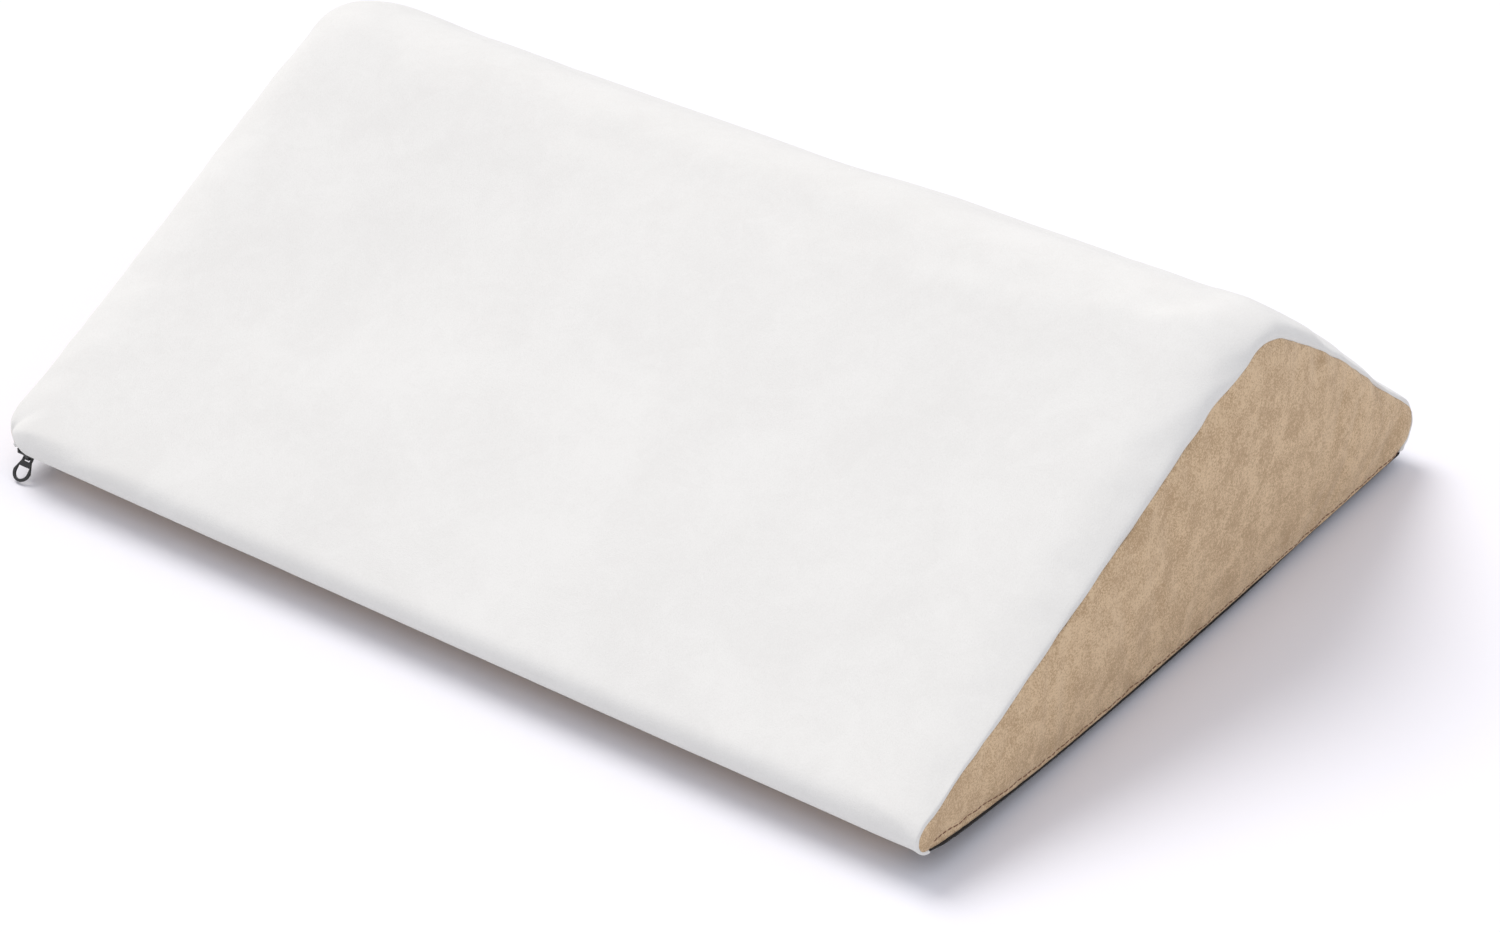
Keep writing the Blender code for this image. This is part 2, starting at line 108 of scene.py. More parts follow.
def ramp_node(material, value, *stops):
    """Colours over a value, given as pairs of position and colour, the lowest first."""
    ramp = material.node_tree.nodes.new("ShaderNodeValToRGB")
    elements = ramp.color_ramp.elements
    while len(elements) < len(stops):
        elements.new(0.5)
    for element, (position, colour) in zip(elements, stops):
        element.position = position
        element.color = (*colour, 1)
    material.node_tree.links.new(value, ramp.inputs["Fac"])
    return ramp.outputs["Color"]


def bump_node(material, height, distance, strength=1.0, under=None):
    """Relief that many metres deep, over another relief where one is given."""
    bump = material.node_tree.nodes.new("ShaderNodeBump")
    bump.inputs["Distance"].default_value = distance
    bump.inputs["Strength"].default_value = strength
    material.node_tree.links.new(height, bump.inputs["Height"])
    if under is not None:
        material.node_tree.links.new(under, bump.inputs["Normal"])
    return bump.outputs["Normal"]


def plain_material(name, roughness):
    """A material, its shader and its Object coordinates."""
    material = bpy.data.materials.new(name)
    material.use_nodes = True
    shader = material.node_tree.nodes["Principled BSDF"]
    shader.inputs["Roughness"].default_value = roughness
    place = material.node_tree.nodes.new("ShaderNodeTexCoord")
    return material, shader, place.outputs["Object"]


def foam_material(name, colour, cell):
    """Open-cell foam: pores of that size, with a few larger ones and a faint mottle."""
    material, shader, place = plain_material(name, 0.95)
    links = material.node_tree.links
    cells = material.node_tree.nodes.new("ShaderNodeTexVoronoi")
    cells.inputs["Scale"].default_value = 1 / cell
    links.new(place, cells.inputs["Vector"])
    # The pits of the pores are painted darker than the foam: painted shade.
    dark = [part * PORE_PAINTED_SHADE for part in colour]
    skin = ramp_node(material, cells.outputs["Distance"], (0.0, dark), (PORE_EDGE, colour))
    links.new(skin, shader.inputs["Base Color"])
    pores = bump_node(material, cells.outputs["Distance"], cell / 3)
    mottle = noise_node(material, place, cell * MOTTLE_CELLS)
    links.new(bump_node(material, mottle, cell / 4, under=pores), shader.inputs["Normal"])
    return material


def foam_slab(node, name, colour, cell):
    """A slab with its cut edges worn round, a little clear of the cloth."""
    slab = copy_of_node(node, name)
    apply_modifier(slab, "cells", "REMESH", mode="VOXEL", voxel_size=FOAM_VOXEL, adaptivity=0.0)
    apply_modifier(
        slab, "worn edges", "SMOOTH", factor=FOAM_SMOOTHING, iterations=FOAM_SMOOTH_PASSES,
    )
    apply_modifier(slab, "clearance", "DISPLACE", strength=-FOAM_CLEARANCE, mid_level=0.0)
    slab.data.materials.append(foam_material(name + "_foam", colour, cell))
    bpy.ops.object.shade_smooth()
    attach(slab, "cover")
    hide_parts(node)
    return slab


foam = [
    foam_slab("foam_base", "firm_foam_slab", BASE_FOAM_COLOUR, BASE_FOAM_CELL),
    foam_slab(
        "comfort_layer", "soft_foam_slab", COMFORT_FOAM_COLOUR, COMFORT_FOAM_CELL,
    ),
]


# ------------------------------------------------------------------------------------------
# Cover shell. One length of velour is sewn between two wedge-shaped microsuede side panels, with
# the seams inside. The three are drawn up together here, pressed out by the foam in a cloth
# simulation that holds their seams, and then parted into their own pieces.

HALF_WIDTH = 0.254
NOSE_RADIUS = 0.006
RIDGE_Y = 0.244
RIDGE_Z = 0.094
RIDGE_RADIUS = 0.030
HEEL_Y = 0.375
HEEL_RADIUS = 0.013
NOSE_CROWN = 0.0007
RIDGE_CROWN = 0.0067
ROLL_WIDTH = 0.028
SKIN = 0.0023
NOSE_LIFT = 0.015
HEEL_LIFT = 0.007
TILT = math.asin((NOSE_LIFT - HEEL_LIFT) / HEEL_Y)
WIDTH_STEPS = 82
ROLL_STEPS = 6
NOSE_STEPS = 10
RAMP_STEPS = 44
RIDGE_STEPS = 9
BACK_STEPS = 27
HEEL_STEPS = 7
SEAM_TURN = ((0.2, 1.5), (0.9, 0.6))
SEAM_DEPTH = 0.0011
SEAM_ROUND = 0.0022
NOSE_TUCK = 0.0007
SIDE_BULGE = 0.0016
SIDE_BULGE_REACH = 0.028
SIDE_GRID = 0.005
SIDE_INSETS = (0.0012, 0.003, 0.0055)
SIDE_INSET_SLACK = 0.97
SIDE_CLEAR = 0.0075
SIDE_CLOSEST = 0.8
SIDE_HEEL_COLUMNS = 3
HEM_LEVEL = 1e-5
SEAM_WELD = 2e-5
TOE_FLAT = 0.10
TOE_FLAT_REACH = 0.09
FILL_FRAMES = 20
FILL_PRESSURE = 4.0
CLOTH_QUALITY = 5
CLOTH_SPARE = 0.012
TOP_SWELL = 0.0014
SIDE_SWELL = 0.0022


def side_circles(grow, crown):
    """Nose, ridge and heel of the side outline, as centre and radius."""
    nose = (0.0, NOSE_RADIUS, NOSE_RADIUS + grow + NOSE_CROWN * crown)
    ridge = (RIDGE_Y, RIDGE_Z, RIDGE_RADIUS + grow + RIDGE_CROWN * crown)
    heel = (HEEL_Y, HEEL_RADIUS, HEEL_RADIUS + grow)
    return nose, ridge, heel


def straight_normal(first, second):
    """Direction square to the straight line that touches two circles."""
    run = second[0] - first[0]
    rise = second[1] - first[1]
    return math.atan2(rise, run) + math.acos((first[2] - second[2]) / math.hypot(run, rise))


def round_points(circle, start, end, steps):
    """Points on a circle, given as centre and radius, from one turn to another."""
    x, y, radius = circle
    turns = [start + (end - start) * step / steps for step in range(steps + 1)]
    return [(x + radius * math.cos(turn), y + radius * math.sin(turn)) for turn in turns]


def straight_points(first, last, steps):
    """Points between two places, without the places themselves."""
    (x0, y0), (x1, y1) = first, last
    shares = [step / steps for step in range(1, steps)]
    return [(x0 + (x1 - x0) * share, y0 + (y1 - y0) * share) for share in shares]


def over_the_top(grow, crown=0.0):
    """Outline from under the nose, up the ramp and over the ridge to the bottom of the heel."""
    nose, ridge, heel = side_circles(grow, crown)
    ramp = straight_normal(nose, ridge)
    back = straight_normal(ridge, heel)
    dip = math.asin(min(1.0, heel[1] / heel[2]))
    round_nose = round_points(nose, math.pi * 1.5, ramp, NOSE_STEPS)
    round_ridge = round_points(ridge, ramp, back, RIDGE_STEPS)
    round_heel = round_points(heel, back, -dip, HEEL_STEPS)
    tuck = (NOSE_TUCK, round_nose[0][1] + NOSE_TUCK * min(1.0, grow / SKIN))
    up = straight_points(round_nose[-1], round_ridge[0], RAMP_STEPS)
    down = straight_points(round_ridge[-1], round_heel[0], BACK_STEPS)
    return [tuck] + round_nose + up + round_ridge + down + round_heel


def width_stations():
    """Place across the cover, growth and crown of each row of the velour, from left to right."""
    middle = HALF_WIDTH - ROLL_WIDTH
    right = []
    for step in range(1, ROLL_STEPS + 1):
        turn = math.pi / 2 * step / ROLL_STEPS
        right.append((middle + ROLL_WIDTH * math.sin(turn), SKIN, math.cos(turn)))
    right += [(HALF_WIDTH - inward / 1000, out / 1000, 0.0) for inward, out in SEAM_TURN]
    left = [(-x, grow, crown) for x, grow, crown in reversed(right)]
    flat = [(middle * (2 * step / WIDTH_STEPS - 1), SKIN, 1.0) for step in range(WIDTH_STEPS + 1)]
    return left + flat + right


def nearest_on(loop, point):
    """Distance from a point to an open row of points."""
    best = 1.0
    for first, last in zip(loop, loop[1:]):
        foot, share = geometry.intersect_point_line(point, first, last)
        share = min(1.0, max(0.0, share))
        best = min(best, (point - (first + (last - first) * share)).length)
    return best


def inside_loop(rim, point):
    """Whether a point lies inside a closed row of points."""
    inside = False
    for first, last in zip(rim, rim[1:] + rim[:1]):
        if (first.y > point.y) != (last.y > point.y):
            if point.x < first.x + (last.x - first.x) * (point.y - first.y) / (last.y - first.y):
                inside = not inside
    return inside


def side_places(loop):
    """Seam, closed rim, points and flat triangles of one side panel."""
    edge = [Vector(point) for point in loop]
    count = round((edge[-1].x - edge[0].x) / SIDE_GRID)
    hem = [edge[-1].lerp(edge[0], step / count) for step in range(1, count)]
    rim = edge + hem
    inside = []
    for inset in SIDE_INSETS:
        for index, here in enumerate(edge[1:-1], 1):
            along = (edge[index + 1] - edge[index - 1]).normalized()
            place = here + Vector((along.y, -along.x)) * inset
            inside.append((place, inset * SIDE_INSET_SLACK))
        inside += [(point + Vector((0, inset)), inset * SIDE_INSET_SLACK) for point in hem]
    rows = round((RIDGE_Z + RIDGE_RADIUS) / SIDE_GRID)
    for row in range(rows):
        shift = SIDE_GRID / 2 * (row % 2)
        inside += [
            (Vector((SIDE_GRID * column + shift, SIDE_GRID * row)), SIDE_CLEAR)
            for column in range(count + SIDE_HEEL_COLUMNS)
        ]
    closed = rim + [edge[0]]
    kept = []
    for point, clear in inside:
        if point.y <= 0 or not inside_loop(rim, point):
            continue
        if nearest_on(closed, point) < clear:
            continue
        if all((point - other).length > SIDE_INSETS[0] * SIDE_CLOSEST for other in kept):
            kept.append(point)
    ring = [(index, (index + 1) % len(rim)) for index in range(len(rim))]
    places, _, faces, *_ = geometry.delaunay_2d_cdt(rim + kept, ring, [], 1, WELD)
    return edge, closed, places, faces


def fullness(y):
    """How much of its bulge a side panel has at that distance from the toe."""
    return min(1.0, TOE_FLAT + (1 - TOE_FLAT) * max(0.0, y) / TOE_FLAT_REACH)


def cover_shell():
    """Velour, right side and left side as one mesh in the cover's own frame."""
    mesh = bmesh.new()
    held = mesh.verts.layers.deform.verify()
    rows = []
    for x, grow, crown in width_stations():
        rows.append([mesh.verts.new((x, y, z)) for y, z in over_the_top(grow, crown)])
    for near, far in zip(rows, rows[1:]):
        for index in range(len(near) - 1):
            mesh.faces.new((near[index], far[index], far[index + 1], near[index + 1]))
    sewn = rows[0] + rows[-1] + [row[0] for row in rows] + [row[-1] for row in rows]
    seam_x = rows[-1][0].co.x
    edge, closed, places, faces = side_places(over_the_top(SEAM_TURN[-1][1] / 1000))
    for side, part in ((1, 1), (-1, 2)):
        corners = []
        for point in places:
            depth = nearest_on(edge, point)
            reach = min(nearest_on(closed, point) / SIDE_BULGE_REACH, 1.0)
            out = SEAM_DEPTH * (1 - math.exp(-depth / SEAM_ROUND))
            out = (out + SIDE_BULGE * math.sin(reach * math.pi / 2)) * fullness(point.x)
            corners.append(mesh.verts.new((side * (seam_x + out), point.x, point.y)))
            if point.y < HEM_LEVEL:
                sewn.append(corners[-1])
        for face in faces:
            loop = [corners[index] for index in face]
            made = mesh.faces.new(loop if side > 0 else reversed(loop))
            made.material_index = part
    for vertex in sewn:
        vertex[held][0] = 1.0
    bmesh.ops.remove_doubles(mesh, verts=mesh.verts, dist=SEAM_WELD)
    bmesh.ops.recalc_face_normals(mesh, faces=mesh.faces)
    data = bpy.data.meshes.new("cover_shell")
    mesh.to_mesh(data)
    mesh.free()
    shell = bpy.data.objects.new("cover_shell", data)
    shell.vertex_groups.new(name="sewn")
    bpy.context.scene.collection.objects.link(shell)
    return shell


def press_out(shell):
    """Let the filling press the cloth out between its seams, by no more than foam would."""
    rest = [vertex.co.copy() for vertex in shell.data.vertices]
    sides = [face for face in shell.data.polygons if face.material_index]
    on_side = {index for face in sides for index in face.vertices}
    work_on(shell)
    cloth = shell.modifiers.new("filling", "CLOTH")
    cloth.settings.quality = CLOTH_QUALITY
    cloth.settings.vertex_group_mass = "sewn"
    cloth.settings.use_pressure = True
    cloth.settings.uniform_pressure_force = FILL_PRESSURE
    cloth.settings.shrink_min = -CLOTH_SPARE
    cloth.settings.effector_weights.gravity = 0
    cloth.point_cache.frame_start = 1
    cloth.point_cache.frame_end = FILL_FRAMES
    for step in range(1, FILL_FRAMES + 1):
        bpy.context.scene.frame_set(step)
    bpy.ops.object.modifier_apply(modifier=cloth.name)
    bpy.context.scene.frame_set(1)
    for index, (vertex, start) in enumerate(zip(shell.data.vertices, rest)):
        swell = SIDE_SWELL * fullness(start.y) if index in on_side else TOP_SWELL
        moved = vertex.co - start
        if moved.length > 0:
            vertex.co = start + moved * (math.tanh(moved.length / swell) * swell / moved.length)


shell = cover_shell()
press_out(shell)


# A used cover isn't taut. Its toe has crept back and its left side leans out, the ridge sags and
# the back is full, and the right hem hangs slack between its ends. The seams pucker, the cloth
# lies unevenly over the foam, and the line of stitching pulls the folded hem in.

COVER_BACK = HEEL_Y + math.sqrt((HEEL_RADIUS + SKIN) ** 2 - HEEL_RADIUS ** 2)
HEM_SLACK = 0.0062
HEM_SLACK_SKEW = 0.64
HEM_SLACK_FROM = 0.12
HEM_SLACK_HEIGHT = 0.030
TOE_SHRINK_RIGHT = 0.0006
TOE_SHRINK_LEFT = 0.0046
TOE_SHRINK_REACH = 0.075
WAIST = 0.0020
WAIST_FROM = 0.12
WAIST_HEIGHT = 0.030
WAIST_BACK = (0.09, 0.13)
CORNER_ROUND = 0.016
LEFT_OUT = 0.0020
LEFT_OUT_HEIGHT = 0.012
LEFT_LEAN = 0.0062
RIDGE_END_DROP_RIGHT = 0.0022
RIDGE_END_DROP_LEFT = 0.0010
RIDGE_END_SPREAD = 0.032
RIDGE_SINK = 0.0022
RIDGE_DIP = 0.0050
RIDGE_DIP_FROM = 0.14
RIDGE_DIP_REACH = 0.26
BACK_SWELL = 0.0042
BACK_SWELL_HEIGHT = 0.030
BACK_SWELL_OUT = 0.53
BACK_SWELL_UP = 0.85
PUCKER = 0.0003
PUCKER_SIZE = 0.013
PUCKER_REACH = 0.011
UNEVEN = 0.0011
UNEVEN_SIZE = 0.085
UNEVEN_SEED = 3
UNEVEN_HELD = 0.6
UNEVEN_LOW = 0.35
UNEVEN_HEIGHT = 0.02
STITCH_Z = 0.0028
STITCH_LOW_Z = 0.0013
STITCH_LOW_FROM = 0.02
STITCH_LOW_REACH = 0.09
STITCH_PULL = 0.0004
STITCH_SPREAD = 0.0014
STITCH_PULL_FROM = 0.004
STITCH_PULL_INSET = 0.0015
CLOTH_THICKNESS = 0.0012
FOAM_LOWEST = 0.0018

noise.seed_set(UNEVEN_SEED)
nose_now, _, heel_now = side_circles(SKIN, 1.0)
front_reach = nose_now[1] * math.sin(TILT) - nose_now[2]
back_reach = heel_now[0] * math.cos(TILT) + heel_now[1] * math.sin(TILT) + heel_now[2]
middle_y = (front_reach + back_reach) / 2
cover_place = Matrix.Translation((0, -middle_y, NOSE_LIFT)) @ Matrix.Rotation(-TILT, 4, "X")


def eased(value):
    """Smooth step from 0 to 1."""
    value = min(1.0, max(0.0, value))
    return value * value * (3 - 2 * value)


def hem_drop(point):
    """How far the slack right hem hangs below its straight line at a place on the cover."""
    across = eased((point.x - HEM_SLACK_FROM) / (HALF_WIDTH - HEM_SLACK_FROM))
    along = math.sin(math.pi * min(1.0, max(0.0, point.y / HEEL_Y)) ** HEM_SLACK_SKEW)
    return HEM_SLACK * across * along * math.exp(-max(0.0, point.z) / HEM_SLACK_HEIGHT)


def pulled_in(point, corner=True):
    """The worn outline: a short toe, a leaning left side, a soft ridge and a full back."""
    moved = point.copy()
    height = eased(point.z / RIDGE_Z)
    from_right = (HALF_WIDTH - point.x) / (2 * HALF_WIDTH)
    shrink = TOE_SHRINK_RIGHT + (TOE_SHRINK_LEFT - TOE_SHRINK_RIGHT) * from_right
    moved.y += shrink * (1 - eased(point.y / TOE_SHRINK_REACH))
    far_left = eased((-point.x - WAIST_FROM) / (HALF_WIDTH - WAIST_FROM))
    forward = 1 - eased((point.y - WAIST_BACK[0]) / WAIST_BACK[1])
    moved.x += WAIST * far_left * forward * eased(point.z / WAIST_HEIGHT)
    moved.x -= (LEFT_OUT * eased(point.z / LEFT_OUT_HEIGHT) + LEFT_LEAN * height ** 2) * far_left
    at_end = eased((abs(point.x) - HALF_WIDTH + ROLL_WIDTH) / ROLL_WIDTH)
    by_ridge = math.exp(-((point.y - RIDGE_Y) / RIDGE_END_SPREAD) ** 2)
    end_drop = RIDGE_END_DROP_RIGHT if point.x > 0 else RIDGE_END_DROP_LEFT
    moved.z -= end_drop * at_end * height * by_ridge
    dip = eased((RIDGE_DIP_FROM - point.x) / RIDGE_DIP_REACH)
    moved.z -= height * (RIDGE_SINK + RIDGE_DIP * dip)
    down_back = min(1.0, max(0.0, (point.y - RIDGE_Y) / (COVER_BACK - RIDGE_Y)))
    swell = BACK_SWELL * math.sin(math.pi * down_back) ** 2 * eased(point.z / BACK_SWELL_HEIGHT)
    moved.y += swell * BACK_SWELL_OUT
    moved.z += swell * BACK_SWELL_UP
    out = (-moved.x - HALF_WIDTH + CORNER_ROUND) / CORNER_ROUND
    toe_front = TOE_SHRINK_LEFT - NOSE_RADIUS - SKIN
    fore = (toe_front + CORNER_ROUND - moved.y) / CORNER_ROUND
    if corner and out > 0 and fore > 0:
        share = max(out, fore) / math.hypot(out, fore)
        moved.x = -(HALF_WIDTH - CORNER_ROUND + CORNER_ROUND * out * share)
        moved.y = toe_front + CORNER_ROUND - CORNER_ROUND * fore * share
    return moved


def in_place(point, corner=True, lowest=0.0):
    """A place on the cover, worn and moved to where the cushion stands, at that height or more."""
    hung = pulled_in(Vector((point.x, point.y, point.z - hem_drop(point))), corner)
    placed = cover_place @ hung
    placed.z = max(placed.z, lowest)
    return placed


def stitch_height(y):
    """Height of the stitching in the hem, which runs lower behind the toe."""
    return STITCH_Z + (STITCH_LOW_Z - STITCH_Z) * eased((y - STITCH_LOW_FROM) / STITCH_LOW_REACH)


def softened(point):
    """Puckers by the seams, and slow unevenness."""
    by_seam = math.exp(-abs(HALF_WIDTH - abs(point.x)) / PUCKER_REACH)
    pucker = noise.noise_vector(point / PUCKER_SIZE) * PUCKER * by_seam
    slow = noise.noise_vector(point / UNEVEN_SIZE) * UNEVEN
    height = eased(point.z / UNEVEN_HEIGHT)
    loose = UNEVEN_LOW + (1 - UNEVEN_LOW) * height
    return point + (pucker + slow * (1 - UNEVEN_HELD * by_seam)) * loose


for slab in foam:
    for vertex in slab.data.vertices:
        vertex.co = in_place(softened(cover_place.inverted() @ vertex.co), lowest=FOAM_LOWEST)
    slab.data.update()


def refine(piece):
    apply_modifier(
        piece, "drape", "SUBSURF", levels=1, render_levels=1, boundary_smooth="PRESERVE_CORNERS",
    )


def panel(name, part):
    """One panel of the shell, refined, softened, given its thickness and put in place."""
    piece = bpy.data.objects.new(name, shell.data.copy())
    bpy.context.scene.collection.objects.link(piece)
    mesh = bmesh.new()
    mesh.from_mesh(piece.data)
    others = [face for face in mesh.faces if face.material_index != part]
    bmesh.ops.delete(mesh, geom=others, context="FACES")
    for face in mesh.faces:
        face.material_index = 0
        face.smooth = True
    mesh.to_mesh(piece.data)
    mesh.free()
    refine(piece)
    normals = [vertex.normal.copy() for vertex in piece.data.vertices]
    for vertex, normal in zip(piece.data.vertices, normals):
        pull = math.exp(-((vertex.co.z - stitch_height(vertex.co.y)) / STITCH_SPREAD) ** 2)
        on_hem = abs(vertex.co.x) > HALF_WIDTH - STITCH_PULL_INSET or vertex.co.y > HEEL_Y
        soft = softened(vertex.co)
        if on_hem and vertex.co.y > STITCH_PULL_FROM:
            soft -= normal * STITCH_PULL * pull
        vertex.co = soft
    apply_modifier(piece, "cloth", "SOLIDIFY", thickness=CLOTH_THICKNESS, offset=-1)
    for vertex in piece.data.vertices:
        vertex.co = in_place(vertex.co)
    piece.data.update()
    return piece


def shader_group(name, inputs, outputs):
    """An empty group of shader nodes with those sockets."""
    group = bpy.data.node_groups.new(name, "ShaderNodeTree")
    for label, kind in inputs:
        group.interface.new_socket(name=label, in_out="INPUT", socket_type="NodeSocket" + kind)
    for label, kind in outputs:
        group.interface.new_socket(name=label, in_out="OUTPUT", socket_type="NodeSocket" + kind)
    return group, group.nodes.new("NodeGroupInput"), group.nodes.new("NodeGroupOutput")


PATCH_NOISE = (3.0, 0.55, 0.6)
STREAK_NOISE = (4.0, 0.65, 1.2)
FIBRE_NOISE = (2.0, 0.6, 0.0)
PATCH_SHARE = 0.6
STREAK_SHARE = 0.4
NAP_DARKEST = 0.36
NAP_LIGHTEST = 0.64
NAP_MIDDLE = 0.5
STREAK_HEIGHT = 0.5
NAP_POLISH = 0.14
NAP_ROUGHNESS = 0.9
NAP_SPECULAR = 0.2
NAP_SHEEN_ROUGHNESS = 0.45
# The colour sockets of a Mix node, by number: the float ones bear the same names.
MIX_COLOUR_A = 6
MIX_COLOUR_B = 7
MIX_COLOUR_OUT = 2


def brushed_nap_group():
    """Nap that lies this way and that in patches, under fine fibres. The patches are painted
    lighter and darker: painted sheen and painted shade for the light that the nap catches.
    """
    group, given, made = shader_group(
        "brushed_nap",
        [("Vector", "Vector"), ("Patch", "Float"), ("Streak", "Float"), ("Fibre", "Float"),
         ("Shaded", "Color"), ("Lit", "Color"), ("Fibre Contrast", "Float")],
        [("Color", "Color"), ("Height", "Float"), ("Roughness", "Float")],
    )
    links = group.links

    def layer(socket, detail, roughness, twist):
        pattern = group.nodes.new("ShaderNodeTexNoise")
        pattern.inputs["Detail"].default_value = detail
        pattern.inputs["Roughness"].default_value = roughness
        pattern.inputs["Distortion"].default_value = twist
        links.new(given.outputs["Vector"], pattern.inputs["Vector"])
        links.new(given.outputs[socket], pattern.inputs["Scale"])
        return pattern.outputs["Fac"]

    def maths(kind, first, second):
        node = group.nodes.new("ShaderNodeMath")
        node.operation = kind
        for socket, value in zip(node.inputs, (first, second)):
            if isinstance(value, (int, float)):
                socket.default_value = value
            else:
                links.new(value, socket)
        return node.outputs["Value"]

    patch = layer("Patch", *PATCH_NOISE)
    streak = layer("Streak", *STREAK_NOISE)
    fibre = layer("Fibre", *FIBRE_NOISE)
    patches = maths("MULTIPLY", patch, PATCH_SHARE)
    lay = maths("ADD", patches, maths("MULTIPLY", streak, STREAK_SHARE))
    spread = group.nodes.new("ShaderNodeMapRange")
    spread.inputs["From Min"].default_value = NAP_DARKEST
    spread.inputs["From Max"].default_value = NAP_LIGHTEST
    centred = maths("SUBTRACT", fibre, NAP_MIDDLE)
    fibres = maths("MULTIPLY", centred, given.outputs["Fibre Contrast"])
    links.new(maths("ADD", lay, fibres), spread.inputs["Value"])
    # Painted shade and painted sheen: the nap patches mix the shaded colour into the lit one.
    tone = group.nodes.new("ShaderNodeMix")
    tone.data_type = "RGBA"
    links.new(spread.outputs["Result"], tone.inputs["Factor"])
    links.new(given.outputs["Shaded"], tone.inputs[MIX_COLOUR_A])
    links.new(given.outputs["Lit"], tone.inputs[MIX_COLOUR_B])
    links.new(tone.outputs[MIX_COLOUR_OUT], made.inputs["Color"])
    streaks = maths("MULTIPLY", streak, STREAK_HEIGHT)
    links.new(maths("ADD", fibre, streaks), made.inputs["Height"])
    polish = maths("MULTIPLY", spread.outputs["Result"], NAP_POLISH)
    links.new(maths("SUBTRACT", 1.0, polish), made.inputs["Roughness"])
    return group


brushed_nap = brushed_nap_group()


def napped_cloth(name, shaded, lit, patch, streak, fibre, contrast, pile, sheen):
    """Cloth with a brushed face; patch, streak, fibre and pile are sizes in metres. Its shaded and
    lit colours are the painted shade and painted sheen of the nap patches.
    """
    material, shader, place = plain_material(name, NAP_ROUGHNESS)
    links = material.node_tree.links
    nap = material.node_tree.nodes.new("ShaderNodeGroup")
    nap.node_tree = brushed_nap
    nap.inputs["Patch"].default_value = 1 / patch
    nap.inputs["Streak"].default_value = 1 / streak
    nap.inputs["Fibre"].default_value = 1 / fibre
    nap.inputs["Fibre Contrast"].default_value = contrast
    nap.inputs["Shaded"].default_value = (*shaded, 1)
    nap.inputs["Lit"].default_value = (*lit, 1)
    links.new(place, nap.inputs["Vector"])
    links.new(nap.outputs["Color"], shader.inputs["Base Color"])
    links.new(nap.outputs["Roughness"], shader.inputs["Roughness"])
    links.new(bump_node(material, nap.outputs["Height"], pile), shader.inputs["Normal"])
    shader.inputs["Specular IOR Level"].default_value = NAP_SPECULAR
    shader.inputs["Sheen Weight"].default_value = sheen
    shader.inputs["Sheen Roughness"].default_value = NAP_SHEEN_ROUGHNESS
    return material


def cover_piece(piece, material, nodes, body="cover"):
    """Give a piece its material in a slot of its own and its body, and hide the CAD nodes that it
    stands for.
    """
    piece.data.materials.clear()
    piece.data.materials.append(material)
    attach(piece, body)
    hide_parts(*nodes)
    return piece


# ------------------------------------------------------------------------------------------
# Velour. The off-white top is one length of short-pile velour, from the seam under the toe over
# the ramp and the ridge to the hem at the back, where it is folded and stitched to the zip.

# The two tones of the velour's nap patches: painted shade and painted sheen.
VELOUR_SHADED = (0.81, 0.80, 0.783)
VELOUR_LIT = (0.85, 0.842, 0.825)

velour = napped_cloth(
    "ivory_velour", VELOUR_SHADED, VELOUR_LIT, patch=0.055, streak=0.012, fibre=0.0007,
    contrast=0.55, pile=0.00014, sheen=0.25,
)
top = cover_piece(panel("velour_top", 0), velour, ["top_panel"])


# ------------------------------------------------------------------------------------------
# Side panels. Two flat wedges of tan microsuede, rounded at the toe, the ridge and the heel, and
# folded under along the bottom, where the zip is stitched on.

# The two tones of the suede's nap patches: painted shade and painted sheen.
SUEDE_SHADED = (0.53, 0.368, 0.222)
SUEDE_LIT = (0.78, 0.580, 0.378)

suede = napped_cloth(
    "tan_microsuede", SUEDE_SHADED, SUEDE_LIT, patch=0.013, streak=0.0038, fibre=0.0008,
    contrast=1.0, pile=0.0003, sheen=0.12,
)
right_side = cover_piece(panel("suede_side_right", 1), suede, ["right_gusset"])
left_side = cover_piece(panel("suede_side_left", 2), suede, ["left_gusset"])
bpy.data.objects.remove(shell)


# ------------------------------------------------------------------------------------------
# Underside. A panel of the same microsuede hangs from the zip on three sides and is sewn to the
# velour under the toe. The weight of the foam presses its middle flat on the ground.

CHAIN_INSET = 0.010
CHAIN_CORNER = 0.020
HEM_INSET = 0.016
HEM_CORNER = CHAIN_CORNER + CHAIN_INSET - HEM_INSET
HEM_CORNER_STEPS = 5
HEM_Z = -0.0023
HEM_FRONT = 0.0008
HEM_FRONT_ROW = 0.0012
RIM_MARGIN = 0.0245
PATCH_MARGIN = 0.070
BOTTOM_GRID = 0.0065
BOTTOM_RIPPLE = 0.0010
BOTTOM_RIPPLE_SIZE = 0.03
BOTTOM_RIPPLE_EDGE = 0.02


def hem_back(x):
    """Where the underside's back hem lies, with its corners rounded."""
    past = max(0.0, abs(x) - (HALF_WIDTH - HEM_INSET - HEM_CORNER))
    return COVER_BACK - HEM_INSET - HEM_CORNER + math.sqrt(max(0.0, HEM_CORNER ** 2 - past ** 2))


def belly_z(x, y):
    """Height of the underside between its hem and the patch that it rests on."""
    slope = PATCH_MARGIN - RIM_MARGIN
    down = eased((HALF_WIDTH - RIM_MARGIN - abs(x)) / slope)
    down *= eased((y - RIM_MARGIN) / slope) * eased((COVER_BACK - RIM_MARGIN - y) / slope)
    ground = (y * math.sin(TILT) - NOSE_LIFT) / math.cos(TILT)
    return HEM_Z + (ground - HEM_Z) * down


